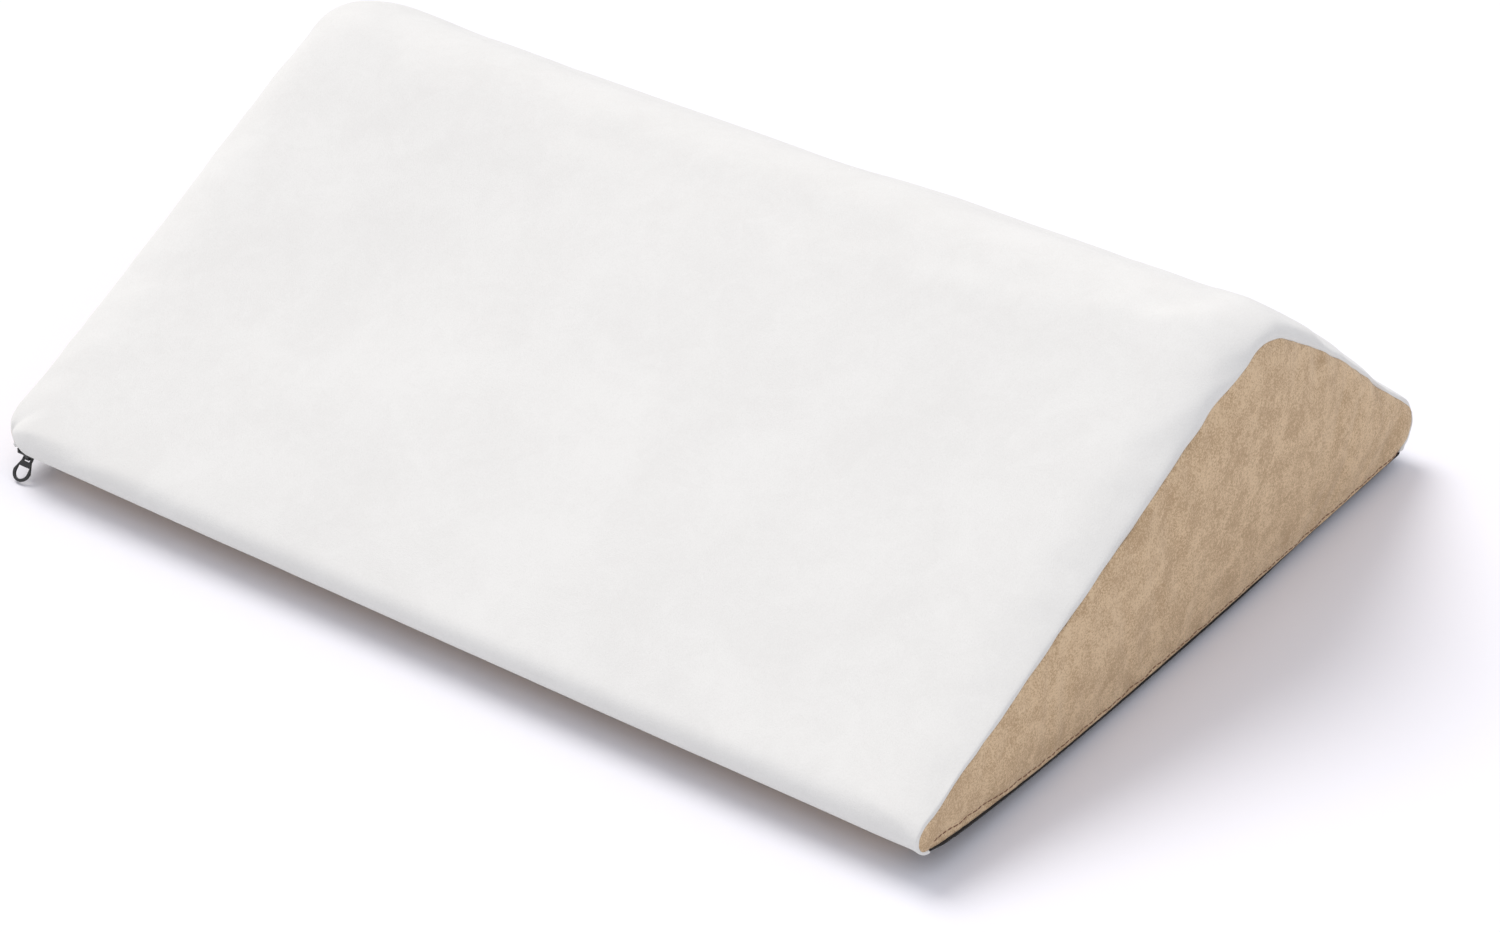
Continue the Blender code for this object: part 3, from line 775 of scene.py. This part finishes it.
def underside():
    """The lower panel, rippled where it hangs free."""
    mesh = bmesh.new()
    end = HALF_WIDTH - HEM_INSET
    turns = [math.pi / 2 * step / HEM_CORNER_STEPS for step in range(HEM_CORNER_STEPS + 1)]
    corner = [end - HEM_CORNER * (1 - math.sin(turn)) for turn in turns]
    steps = round(2 * corner[0] / BOTTOM_GRID)
    middle = [corner[0] * (2 * step / steps - 1) for step in range(1, steps)]
    places = [-x for x in reversed(corner)] + middle + corner
    count = round(COVER_BACK / BOTTOM_GRID)
    rows = []
    for x in places:
        back = hem_back(x)
        depths = [HEM_FRONT, HEM_FRONT + HEM_FRONT_ROW]
        depths += [HEM_FRONT + (back - HEM_FRONT) * (step / count) for step in range(1, count + 1)]
        row = []
        for y in depths:
            z = belly_z(x, y) if y > HEM_FRONT else HEM_Z + NOSE_TUCK
            free = 1.0
            for inward in (end - abs(x), back - y, y):
                free *= eased(inward / BOTTOM_RIPPLE_EDGE)
            ripple = noise.noise(Vector((x, y, 0)) / BOTTOM_RIPPLE_SIZE) * BOTTOM_RIPPLE * free
            row.append(mesh.verts.new((x, y, z + ripple)))
        rows.append(row)
    for near, far in zip(rows, rows[1:]):
        for index in range(len(near) - 1):
            face = mesh.faces.new((near[index], near[index + 1], far[index + 1], far[index]))
            face.smooth = True
    data = bpy.data.meshes.new("suede_underside")
    mesh.to_mesh(data)
    mesh.free()
    piece = bpy.data.objects.new("suede_underside", data)
    bpy.context.scene.collection.objects.link(piece)
    refine(piece)
    for vertex in piece.data.vertices:
        vertex.co = in_place(vertex.co)
    apply_modifier(piece, "cloth", "SOLIDIFY", thickness=CLOTH_THICKNESS, offset=-1)
    return piece


bottom = cover_piece(underside(), suede, ["bottom_panel"])


# ------------------------------------------------------------------------------------------
# Zip tapes. Two bands of black woven polyester carry the teeth round the left side, the back and
# the right side. The outer one is stitched inside the hem of the cover and just shows below it.

TAPE_TOP_Z = -0.0003
TAPE_THICKNESS = 0.0005
TAPE_FRONT = 0.0008
TAPE_EDGE_INSET = 0.0002
TAPE_EDGE_CORNER = 0.005
TAPE_SHOWS = 0.0009
TAPE_SHOWS_FROM = 0.012
TAPE_SHOWS_TO = 0.29
TAPE_SHOWS_FADE = 0.05
INNER_TAPE_INSET = 0.022
INNER_TAPE_CORNER = 0.008
CHAIN_HALF_GAP = 0.0007
SIDE_STEPS = 44
TURN_STEPS = 10
REAR_STEPS = 56
TAPE_COLUMNS = 3
TAPE_COLOUR = (0.012, 0.012, 0.014)
TAPE_ROUGHNESS = 0.75
WEAVE_SIZE = 0.0022
WEAVE_WOBBLE = 0.4
WEAVE_LOW = 0.2
WEAVE_HIGH = 0.9
WEAVE_CREST_LIGHTER = 2.6
WEAVE_DEPTH = 0.00012


def zip_route(inset, corner=None, front=TAPE_FRONT):
    """Places along the zip, from the left front round the back to the right front."""
    if corner is None:
        corner = CHAIN_CORNER + CHAIN_INSET - inset
    centre_x = HALF_WIDTH - inset - corner
    centre_y = COVER_BACK - inset - corner
    depths = [front + (centre_y - front) * step / SIDE_STEPS for step in range(SIDE_STEPS)]
    left = [(inset - HALF_WIDTH, y) for y in depths]
    turn = round_points((-centre_x, centre_y, corner), math.pi, math.pi / 2, TURN_STEPS)
    shares = [2 * step / REAR_STEPS - 1 for step in range(1, REAR_STEPS)]
    rear = [(centre_x * share, centre_y + corner) for share in shares]
    back = [(-x, y) for x, y in reversed(turn)]
    right = [(-x, y) for x, y in reversed(left)]
    return left + turn + rear + back + right


def tape(name, outer, inner):
    """One band of tape between two routes."""
    mesh = bmesh.new()
    rows = []
    for (first_x, first_y), (last_x, last_y) in zip(outer, inner):
        row = []
        for column in range(TAPE_COLUMNS + 1):
            share = column / TAPE_COLUMNS
            x = first_x + (last_x - first_x) * share
            y = first_y + (last_y - first_y) * share
            row.append(mesh.verts.new((x, y, TAPE_TOP_Z)))
        rows.append(row)
    for near, far in zip(rows, rows[1:]):
        for index in range(TAPE_COLUMNS):
            mesh.faces.new((near[index], near[index + 1], far[index + 1], far[index]))
    for face in mesh.faces:
        face.normal_update()
        if face.normal.z < 0:
            face.normal_flip()
    data = bpy.data.meshes.new(name)
    mesh.to_mesh(data)
    mesh.free()
    piece = bpy.data.objects.new(name, data)
    bpy.context.scene.collection.objects.link(piece)
    apply_modifier(piece, "weave", "SOLIDIFY", thickness=TAPE_THICKNESS, offset=-1)
    for vertex in piece.data.vertices:
        vertex.co = in_place(vertex.co)
    piece.data.update()
    return piece


def woven_tape():
    """Fine black weave of crossing yarns."""
    material, shader, place = plain_material("woven_zip_tape", TAPE_ROUGHNESS)
    links = material.node_tree.links
    waves = []
    for direction in ("X", "Y"):
        wave = material.node_tree.nodes.new("ShaderNodeTexWave")
        wave.bands_direction = direction
        wave.inputs["Scale"].default_value = 1 / WEAVE_SIZE
        wave.inputs["Distortion"].default_value = WEAVE_WOBBLE
        links.new(place, wave.inputs["Vector"])
        waves.append(wave.outputs["Fac"])
    crossing = material.node_tree.nodes.new("ShaderNodeMath")
    crossing.operation = "MULTIPLY"
    for value, socket in zip(waves, crossing.inputs):
        links.new(value, socket)
    woven = crossing.outputs["Value"]
    # The crests of the weave, where both yarns rise, are coloured lighter than the rest of the
    # tape.
    crest_colour = [part * WEAVE_CREST_LIGHTER for part in TAPE_COLOUR]
    yarns = ramp_node(material, woven, (WEAVE_LOW, TAPE_COLOUR), (WEAVE_HIGH, crest_colour))
    links.new(yarns, shader.inputs["Base Color"])
    links.new(bump_node(material, woven, WEAVE_DEPTH), shader.inputs["Normal"])
    return material


def shown_below(x, y):
    """The outer tape's edge, which stands out from under the right hem."""
    if x <= 0:
        return x, y
    fade = eased((TAPE_SHOWS_TO - y) / TAPE_SHOWS_FADE)
    return x + TAPE_SHOWS * fade * eased(y / TAPE_SHOWS_FROM), y


hem_edge = [shown_below(x, y) for x, y in zip_route(TAPE_EDGE_INSET, TAPE_EDGE_CORNER)]
outer_teeth_edge = zip_route(CHAIN_INSET - CHAIN_HALF_GAP)
inner_teeth_edge = zip_route(CHAIN_INSET + CHAIN_HALF_GAP)
panel_edge = zip_route(INNER_TAPE_INSET, INNER_TAPE_CORNER)
black_tape = woven_tape()
outer_tape = tape("zip_tape_outer", hem_edge, outer_teeth_edge)
cover_piece(outer_tape, black_tape, ["zipper_tape_outer"])
inner_tape = tape("zip_tape_inner", inner_teeth_edge, panel_edge)
cover_piece(inner_tape, black_tape, ["zipper_tape_inner"])


# ------------------------------------------------------------------------------------------
# Zip teeth. Each row is a coil of nylon monofilament pressed into loops, with a swollen head that
# locks between the heads of the other row, and it is sewn to its tape through the loops.

TOOTH_PITCH = 0.0015
TOOTH_LENGTH = 0.0031
TOOTH_WIDTH = 0.0009
TOOTH_SIDES = 8
TOOTH_END_INSET = 0.45
TOOTH_END_ROUND = 0.86
TOOTH_HEAD = 1.25
TOOTH_NECK = 0.35
TOOTH_TOP_Z = -0.0011
TOOTH_HEIGHT = 0.0014
TOOTH_FRONT = 0.0034
TOOTH_TIP = 0.0004
NYLON_COLOUR = (0.02, 0.02, 0.023)
NYLON_ROUGHNESS = 0.42
DRAWN_SIZE = 0.0006
DRAWN_DEPTH = 0.00004
SCUFF_SIZE = 0.004
SCUFF_DETAIL = 3.0
SCUFF_FROM = 0.4
SCUFF_TO = 0.75
SCUFF_SHADE = 2.2


def along(route, spacing, start=0.0):
    """Places at even spacing along a route, each with its direction."""
    places = []
    due = start
    gone = 0.0
    for (x0, y0), (x1, y1) in zip(route, route[1:]):
        run = math.hypot(x1 - x0, y1 - y0)
        ahead = ((x1 - x0) / run, (y1 - y0) / run)
        while due <= gone + run:
            share = (due - gone) / run
            places.append((x0 + (x1 - x0) * share, y0 + (y1 - y0) * share, *ahead))
            due += spacing
        gone += run
    return places


def one_tooth():
    """A rounded bar with a swollen head at its +X end, lying from -1 to 1 on each axis."""
    deselect_everything()
    bpy.ops.mesh.primitive_cylinder_add(
        vertices=TOOTH_SIDES, radius=1, depth=2, rotation=(0, math.pi / 2, 0),
    )
    piece = bpy.context.active_object
    bpy.ops.object.transform_apply(location=True, rotation=True, scale=True)
    bpy.ops.object.mode_set(mode="EDIT")
    mesh = bmesh.from_edit_mesh(piece.data)
    for face in mesh.faces:
        face.select = abs(face.normal.x) > 0.9
    bpy.ops.mesh.inset(thickness=TOOTH_END_INSET)
    bpy.ops.object.mode_set(mode="OBJECT")
    mesh = bmesh.new()
    mesh.from_mesh(piece.data)
    bar = mesh.verts[:] + mesh.edges[:] + mesh.faces[:]
    bmesh.ops.bisect_plane(mesh, geom=bar, plane_co=(TOOTH_NECK, 0, 0), plane_no=(1, 0, 0))
    for vertex in mesh.verts:
        on_rim = math.hypot(vertex.co.y, vertex.co.z) > 0.8
        if on_rim and vertex.co.x > 0.5:
            vertex.co.y *= TOOTH_HEAD
        if on_rim and abs(vertex.co.x) > 0.99:
            vertex.co.x *= TOOTH_END_ROUND
    mesh.to_mesh(piece.data)
    mesh.free()
    return piece


def scattered(name, template, places):
    """Copies of a template in one mesh, at places given as matrices."""
    points = [vertex.co.copy() for vertex in template.data.vertices]
    faces = [list(face.vertices) for face in template.data.polygons]
    all_points = []
    all_faces = []
    for matrix in places:
        first = len(all_points)
        all_points += [matrix @ point for point in points]
        all_faces += [[first + index for index in face] for face in faces]
    data = bpy.data.meshes.new(name)
    data.from_pydata(all_points, [], all_faces)
    for face in data.polygons:
        face.use_smooth = True
    piece = bpy.data.objects.new(name, data)
    bpy.context.scene.collection.objects.link(piece)
    return piece


def tooth_row(name, template, outward, start):
    """The teeth of one tape, which point to the other tape."""
    matrices = []
    level = cover_place.to_3x3().to_4x4()
    size = Matrix.Diagonal((TOOTH_LENGTH / 2, TOOTH_WIDTH / 2, TOOTH_HEIGHT / 2, 1))
    height = TOOTH_TOP_Z - TOOTH_HEIGHT / 2
    for x, y, dx, dy in along(zip_route(CHAIN_INSET, front=TOOTH_FRONT), TOOTH_PITCH, start):
        away = Vector((-dy, dx, 0)) * outward
        middle = Vector((x, y, height)) + away * (TOOTH_TIP / 2 + TOOTH_LENGTH / 2)
        turn = Matrix((-away, Vector((dx, dy, 0)), Vector((0, 0, 1)))).transposed().to_4x4()
        matrices.append(Matrix.Translation(in_place(middle, corner=False)) @ level @ turn @ size)
    return scattered(name, template, matrices)


def nylon():
    """Black nylon with faint drawing marks, paler where it is scuffed."""
    material, shader, place = plain_material("black_nylon", NYLON_ROUGHNESS)
    links = material.node_tree.links
    drawn = noise_node(material, place, DRAWN_SIZE)
    links.new(bump_node(material, drawn, DRAWN_DEPTH), shader.inputs["Normal"])
    pale = [part * SCUFF_SHADE for part in NYLON_COLOUR]
    scuffs = noise_node(material, place, SCUFF_SIZE, SCUFF_DETAIL)
    colour = ramp_node(material, scuffs, (SCUFF_FROM, NYLON_COLOUR), (SCUFF_TO, pale))
    links.new(colour, shader.inputs["Base Color"])
    return material


black_nylon = nylon()
tooth = one_tooth()
outer_row = tooth_row("zip_teeth_outer", tooth, 1, 0.0)
inner_row = tooth_row("zip_teeth_inner", tooth, -1, TOOTH_PITCH / 2)
cover_piece(outer_row, black_nylon, ["zipper_coil_outer"])
cover_piece(inner_row, black_nylon, ["zipper_coil_inner"])
bpy.data.objects.remove(tooth)


# ------------------------------------------------------------------------------------------
# Stops and slider. The stops are nylon welded over the ends of the rows. The slider is a black
# lacquered zinc casting: two plates joined at its nose, flanges round the teeth, and an arch.

STOP_BEVEL = 0.0003
SLIDER_BEVEL = 0.0003
BEVEL_STEPS = 3
SMOOTH_ANGLE = math.radians(40)
LACQUER_COLOUR = (0.012, 0.012, 0.013)
LACQUER_ROUGHNESS = 0.32
LACQUER_COAT = 0.4
LACQUER_COAT_ROUGHNESS = 0.18
ZINC_COLOUR = (0.30, 0.30, 0.31)
PEEL_SIZE = 0.0009
PEEL_DETAIL = 3.0
PEEL_DEPTH = 0.00003
WEAR_PATCHES = 0.35
WEAR_FROM = 0.86
WEAR_TO = 0.92


def round_edges(piece, width):
    apply_modifier(
        piece, "round", "BEVEL", width=width, segments=BEVEL_STEPS, limit_method="ANGLE",
    )
    bpy.ops.object.shade_smooth_by_angle(angle=SMOOTH_ANGLE)


for node, name in (
    ("zipper_top_stop_outer", "zip_top_stop_outer"),
    ("zipper_top_stop_inner", "zip_top_stop_inner"),
    ("zipper_bottom_stop", "zip_bottom_stop"),
):
    block = copy_of_node(node, name)
    corners = block.data.vertices
    home = sum((vertex.co for vertex in corners), Vector()) / len(corners)
    worn_place = in_place(cover_place.inverted() @ home, corner=False)
    block.data.transform(Matrix.Translation(worn_place - home))
    round_edges(block, STOP_BEVEL)
    cover_piece(block, black_nylon, [node])


def lacquered_zinc():
    """Black lacquer over zinc, with a fine orange peel and bare metal on worn edges."""
    material, shader, place = plain_material("lacquered_zinc", LACQUER_ROUGHNESS)
    links = material.node_tree.links
    edge = material.node_tree.nodes.new("ShaderNodeNewGeometry")
    peel = noise_node(material, place, PEEL_SIZE, PEEL_DETAIL)
    worn = material.node_tree.nodes.new("ShaderNodeMath")
    worn.operation = "MULTIPLY_ADD"
    links.new(peel, worn.inputs[0])
    worn.inputs[1].default_value = WEAR_PATCHES
    links.new(edge.outputs["Pointiness"], worn.inputs[2])
    wear = worn.outputs["Value"]
    colour = ramp_node(material, wear, (WEAR_FROM, LACQUER_COLOUR), (WEAR_TO, ZINC_COLOUR))
    links.new(colour, shader.inputs["Base Color"])
    metal = ramp_node(material, wear, (WEAR_FROM, (0, 0, 0)), (WEAR_TO, (1, 1, 1)))
    links.new(metal, shader.inputs["Metallic"])
    links.new(bump_node(material, peel, PEEL_DEPTH), shader.inputs["Normal"])
    shader.inputs["Coat Weight"].default_value = LACQUER_COAT
    shader.inputs["Coat Roughness"].default_value = LACQUER_COAT_ROUGHNESS
    return material


zinc = lacquered_zinc()
slider = copy_of_node("zipper_slider", "zip_slider")
round_edges(slider, SLIDER_BEVEL)
cover_piece(slider, zinc, ["zipper_slider"], body="slider")


# ------------------------------------------------------------------------------------------
# Pull. A small cast tab with an eye round the arch and a D-shaped window, which hangs from the
# slider under the near left corner and leans out until its tip almost meets the ground.

PULL_LENGTH = 0.013
PULL_WIDTH = 0.010
PULL_NECK = 0.0058
PULL_BAR = 0.001
PULL_EYE_WIDTH = 0.0034
PULL_EYE_LENGTH = 0.0031
PULL_HOLE_WIDTH = 0.0066
PULL_HOLE_LENGTH = 0.0058
PULL_WALL = 0.0014
PULL_HALF_CORE = 0.00028
PULL_ROUND = 0.00022
PULL_ROUND_STEPS = 2
PULL_TIP_STEPS = 28
PULL_HOLE_STEPS = 24
PULL_LEAN = math.radians(47.03)
HINGE_Y = 0.0061
HINGE_Z = -0.0045


def cast_from(name, outlines, half_core, rounding):
    """A flat casting with rounded edges, from its outline and the outlines of its holes."""
    curve = bpy.data.curves.new(name, "CURVE")
    curve.dimensions = "2D"
    curve.fill_mode = "BOTH"
    curve.extrude = half_core
    curve.bevel_depth = rounding
    curve.bevel_resolution = PULL_ROUND_STEPS
    curve.offset = -rounding
    for outline in outlines:
        spline = curve.splines.new("POLY")
        spline.points.add(len(outline) - 1)
        for point, (x, y) in zip(spline.points, outline):
            point.co = (x, y, 0, 1)
        spline.use_cyclic_u = True
    piece = bpy.data.objects.new(name, curve)
    bpy.context.scene.collection.objects.link(piece)
    work_on(piece)
    bpy.ops.object.convert(target="MESH")
    piece = bpy.context.active_object
    bpy.ops.object.mode_set(mode="EDIT")
    bpy.ops.mesh.select_all(action="SELECT")
    bpy.ops.mesh.remove_doubles(threshold=WELD)
    bpy.ops.mesh.normals_make_consistent(inside=False)
    bpy.ops.object.mode_set(mode="OBJECT")
    return piece


def pull_outlines():
    """Outlines of the tab, of its eye and of its window, with the arch's axis at the origin."""
    neck = PULL_NECK / 2
    tip = PULL_WIDTH / 2
    bar = PULL_BAR / 2
    tab = [(-neck, PULL_EYE_LENGTH), (-neck, -bar), (neck, -bar), (neck, PULL_EYE_LENGTH)]
    tab += round_points((0.0, PULL_LENGTH - tip, tip), 0.0, math.pi, PULL_TIP_STEPS)
    half_eye = PULL_EYE_WIDTH / 2
    eye = [(-half_eye, bar), (half_eye, bar)]
    eye += [(half_eye, PULL_EYE_LENGTH), (-half_eye, PULL_EYE_LENGTH)]
    half = PULL_HOLE_WIDTH / 2
    end = PULL_LENGTH - PULL_WALL
    window = [(-half, end - PULL_HOLE_LENGTH), (half, end - PULL_HOLE_LENGTH)]
    window += round_points((0.0, end - half, half), 0.0, math.pi, PULL_HOLE_STEPS)
    return [tab, eye, window]


pull = cast_from("zip_pull", pull_outlines(), PULL_HALF_CORE, PULL_ROUND)
arch = Matrix.Translation((CHAIN_INSET - HALF_WIDTH, HINGE_Y, HINGE_Z))
pull.data.transform(cover_place @ (arch @ Matrix.Rotation(math.pi + PULL_LEAN, 4, "X")))
work_on(pull)
bpy.ops.object.shade_smooth_by_angle(angle=SMOOTH_ANGLE)
cover_piece(pull, zinc, ["zipper_pull"], body="pull")


# ------------------------------------------------------------------------------------------
# Topstitching. Lockstitch in red-brown polyester thread: one row just above the folded hem of the
# cover, which holds the outer tape, and one round the underside, which holds the inner tape.

STITCH_PITCH = 0.0036
STITCH_LENGTH = 0.0031
OUTER_THREAD = 0.00027
INNER_THREAD = 0.0003
INNER_THREAD_INSET = 0.018
STITCH_FACETS = 8
STITCH_DIP = 0.7
STITCH_PROUD = 0.3
STITCH_FRONT = 0.003
STITCH_CORNER_GAP = 0.005
SEARCH_FROM = 0.02
THREAD_COLOUR = (0.27, 0.125, 0.07)
# How much darker the grooves of the thread are painted: painted shade.
THREAD_PAINTED_SHADE = 0.6
THREAD_ROUGHNESS = 0.55
TWIST_SIZE = 0.00035
TWIST_LOW = 0.35
TWIST_HIGH = 0.65
TWIST_DEPTH = 0.00008


def one_stitch():
    """A short thread that dips into the cloth at both ends, from -1 to 1 along X."""
    deselect_everything()
    bpy.ops.mesh.primitive_uv_sphere_add(
        segments=STITCH_FACETS, ring_count=STITCH_FACETS, radius=1, rotation=(0, math.pi / 2, 0),
    )
    piece = bpy.context.active_object
    bpy.ops.object.transform_apply(location=True, rotation=True, scale=True)
    for vertex in piece.data.vertices:
        reach = abs(vertex.co.x)
        fuller = (1 + reach ** 2) ** 0.5
        vertex.co.y *= fuller
        vertex.co.z = vertex.co.z * fuller - STITCH_DIP * reach ** 4
    return piece


def thread():
    """Twisted polyester, with painted shade in the grooves between its strands."""
    material, shader, place = plain_material("red_brown_thread", THREAD_ROUGHNESS)
    links = material.node_tree.links
    twist = noise_node(material, place, TWIST_SIZE)
    # The grooves between the strands are painted darker: painted shade.
    dark = [part * THREAD_PAINTED_SHADE for part in THREAD_COLOUR]
    strands = ramp_node(material, twist, (TWIST_LOW, dark), (TWIST_HIGH, THREAD_COLOUR))
    links.new(strands, shader.inputs["Base Color"])
    links.new(bump_node(material, twist, TWIST_DEPTH), shader.inputs["Normal"])
    return material


def stitched(name, template, spots, thickness):
    """Stitches laid on cloth at spots given as place, direction and outward normal."""
    matrices = []
    size = Matrix.Diagonal((STITCH_LENGTH / 2, thickness, thickness, 1))
    for place, direction, normal in spots:
        across = normal.cross(direction).normalized()
        turn = Matrix((direction, across, normal)).transposed().to_4x4()
        seat = place + normal * thickness * STITCH_PROUD
        matrices.append(Matrix.Translation(seat) @ turn @ size)
    return scattered(name, template, matrices)


def on_cloth(tree, place, inward, direction):
    """The nearest cloth seen from a place outside it, as a spot for a stitch."""
    hit, normal, _, _ = tree.ray_cast(place, inward)
    if hit is None:
        return None
    if normal.dot(inward) > 0:
        normal = -normal
    flat = (direction - normal * direction.dot(normal)).normalized()
    return hit, flat, normal


def hem_spots():
    """Spots round the hem of the cover, from the left toe to the right toe."""
    shown = [left_side, top, right_side]
    trees = [BVHTree.FromObject(piece, bpy.context.evaluated_depsgraph_get()) for piece in shown]
    end = HALF_WIDTH - STITCH_CORNER_GAP
    back = COVER_BACK - STITCH_CORNER_GAP
    runs = [
        ((-HALF_WIDTH, STITCH_FRONT), (-HALF_WIDTH, back)),
        ((-end, COVER_BACK), (end, COVER_BACK)),
        ((HALF_WIDTH, back), (HALF_WIDTH, STITCH_FRONT)),
    ]
    aims = [Vector((1, 0, 0)), Vector((0, -1, 0)), Vector((-1, 0, 0))]
    turn = cover_place.to_3x3()
    spots = []
    for tree, aim, run in zip(trees, aims, runs):
        for x, y, dx, dy in along(run, STITCH_PITCH, STITCH_PITCH / 2):
            start = in_place(Vector((x, y, stitch_height(y)))) - turn @ aim * SEARCH_FROM
            spot = on_cloth(tree, start, turn @ aim, turn @ Vector((dx, dy, 0)))
            if spot:
                spots.append(spot)
    return spots


def underside_spots():
    """Spots round the underside, along the middle of the inner tape."""
    tree = BVHTree.FromObject(bottom, bpy.context.evaluated_depsgraph_get())
    turn = cover_place.to_3x3()
    up = Vector((0, 0, 1))
    spots = []
    for x, y, dx, dy in along(zip_route(INNER_THREAD_INSET, front=TOOTH_FRONT), STITCH_PITCH):
        start = in_place(Vector((x, y, HEM_Z)), corner=False) - turn @ up * SEARCH_FROM
        spot = on_cloth(tree, start, turn @ up, turn @ Vector((dx, dy, 0)))
        if spot:
            spots.append(spot)
    return spots


red_brown = thread()
stitch = one_stitch()
hem_row = stitched("topstitch_hem", stitch, hem_spots(), OUTER_THREAD)
under_row = stitched("topstitch_underside", stitch, underside_spots(), INNER_THREAD)
cover_piece(hem_row, red_brown, ["topstitch_outer"])
cover_piece(under_row, red_brown, ["topstitch_inner"])
bpy.data.objects.remove(stitch)


# ------------------------------------------------------------------------------------------
# Studio. A plain pale floor, one broad soft light from behind on the left, an even pale
# surround, and the camera above the right front corner.

FLOOR_SIZE = 14.0
FLOOR_Z = -0.0002
FLOOR_ROUGHNESS = 0.9
FLOOR_COLOUR = (0.82, 0.82, 0.84)
FLOOR_SEEN = (0.945, 0.94, 1.0)
SURROUND_LIGHT = 0.725
SURROUND_COLOUR = (0.94, 0.952, 1.0)
SUN_STRENGTH = 1.62
SUN_SPREAD = math.radians(34)
SUN_COLOUR = (1.0, 0.965, 0.91)
SUN_FROM = Vector((-0.55, 0.13, 0.80))
CAMERA_TARGET = Vector((0.0259, -0.0008, 0.0116))
CAMERA_TURN = math.radians(36.17)
CAMERA_HEIGHT = math.radians(33.21)
CAMERA_DISTANCE = 2.2546
CAMERA_LENS = 119.88
SENSOR = 36.0

deselect_everything()
bpy.ops.mesh.primitive_plane_add(size=FLOOR_SIZE, location=(0, 0, FLOOR_Z))
floor = bpy.context.active_object
floor.name = "floor"
floor_material, floor_shader, _ = plain_material("pale_floor", FLOOR_ROUGHNESS)
floor_shader.inputs["Specular IOR Level"].default_value = 0.0
floor_links = floor_material.node_tree.links
seen_by = floor_material.node_tree.nodes.new("ShaderNodeLightPath")
floor_tone = floor_material.node_tree.nodes.new("ShaderNodeMix")
floor_tone.data_type = "RGBA"
floor_tone.inputs[MIX_COLOUR_A].default_value = (*FLOOR_COLOUR, 1)
floor_tone.inputs[MIX_COLOUR_B].default_value = (*FLOOR_SEEN, 1)
floor_links.new(seen_by.outputs["Is Camera Ray"], floor_tone.inputs["Factor"])
floor_links.new(floor_tone.outputs[MIX_COLOUR_OUT], floor_shader.inputs["Base Color"])
floor.data.materials.append(floor_material)

world = bpy.data.worlds.new("surround")
bpy.context.scene.world = world
world.use_nodes = True
world_nodes = world.node_tree.nodes
surround = world_nodes["Background"]
surround.inputs["Color"].default_value = (*SURROUND_COLOUR, 1)
surround.inputs["Strength"].default_value = SURROUND_LIGHT
backdrop = world_nodes.new("ShaderNodeBackground")
backdrop.inputs["Color"].default_value = (1, 1, 1, 1)
backdrop.inputs["Strength"].default_value = 1.0
world_rays = world_nodes.new("ShaderNodeLightPath")
world_mix = world_nodes.new("ShaderNodeMixShader")
world_links = world.node_tree.links
world_links.new(world_rays.outputs["Is Camera Ray"], world_mix.inputs["Fac"])
world_links.new(surround.outputs["Background"], world_mix.inputs[1])
world_links.new(backdrop.outputs["Background"], world_mix.inputs[2])
world_links.new(world_mix.outputs["Shader"], world_nodes["World Output"].inputs["Surface"])

sun_data = bpy.data.lights.new("soft_key", "SUN")
sun_data.energy = SUN_STRENGTH
sun_data.angle = SUN_SPREAD
sun_data.color = SUN_COLOUR
sun = bpy.data.objects.new("soft_key", sun_data)
sun.rotation_euler = SUN_FROM.to_track_quat("Z", "Y").to_euler()
bpy.context.scene.collection.objects.link(sun)

camera_data = bpy.data.cameras.new("camera")
camera_data.lens = CAMERA_LENS
camera_data.sensor_width = SENSOR
camera = bpy.data.objects.new("camera", camera_data)
camera_back = Vector((
    math.sin(CAMERA_TURN) * math.cos(CAMERA_HEIGHT),
    -math.cos(CAMERA_TURN) * math.cos(CAMERA_HEIGHT),
    math.sin(CAMERA_HEIGHT),
))
camera.location = CAMERA_TARGET + camera_back * CAMERA_DISTANCE
camera.rotation_euler = camera_back.to_track_quat("Z", "Y").to_euler()
bpy.context.scene.collection.objects.link(camera)
bpy.context.scene.camera = camera
bpy.context.scene.view_settings.view_transform = "Standard"
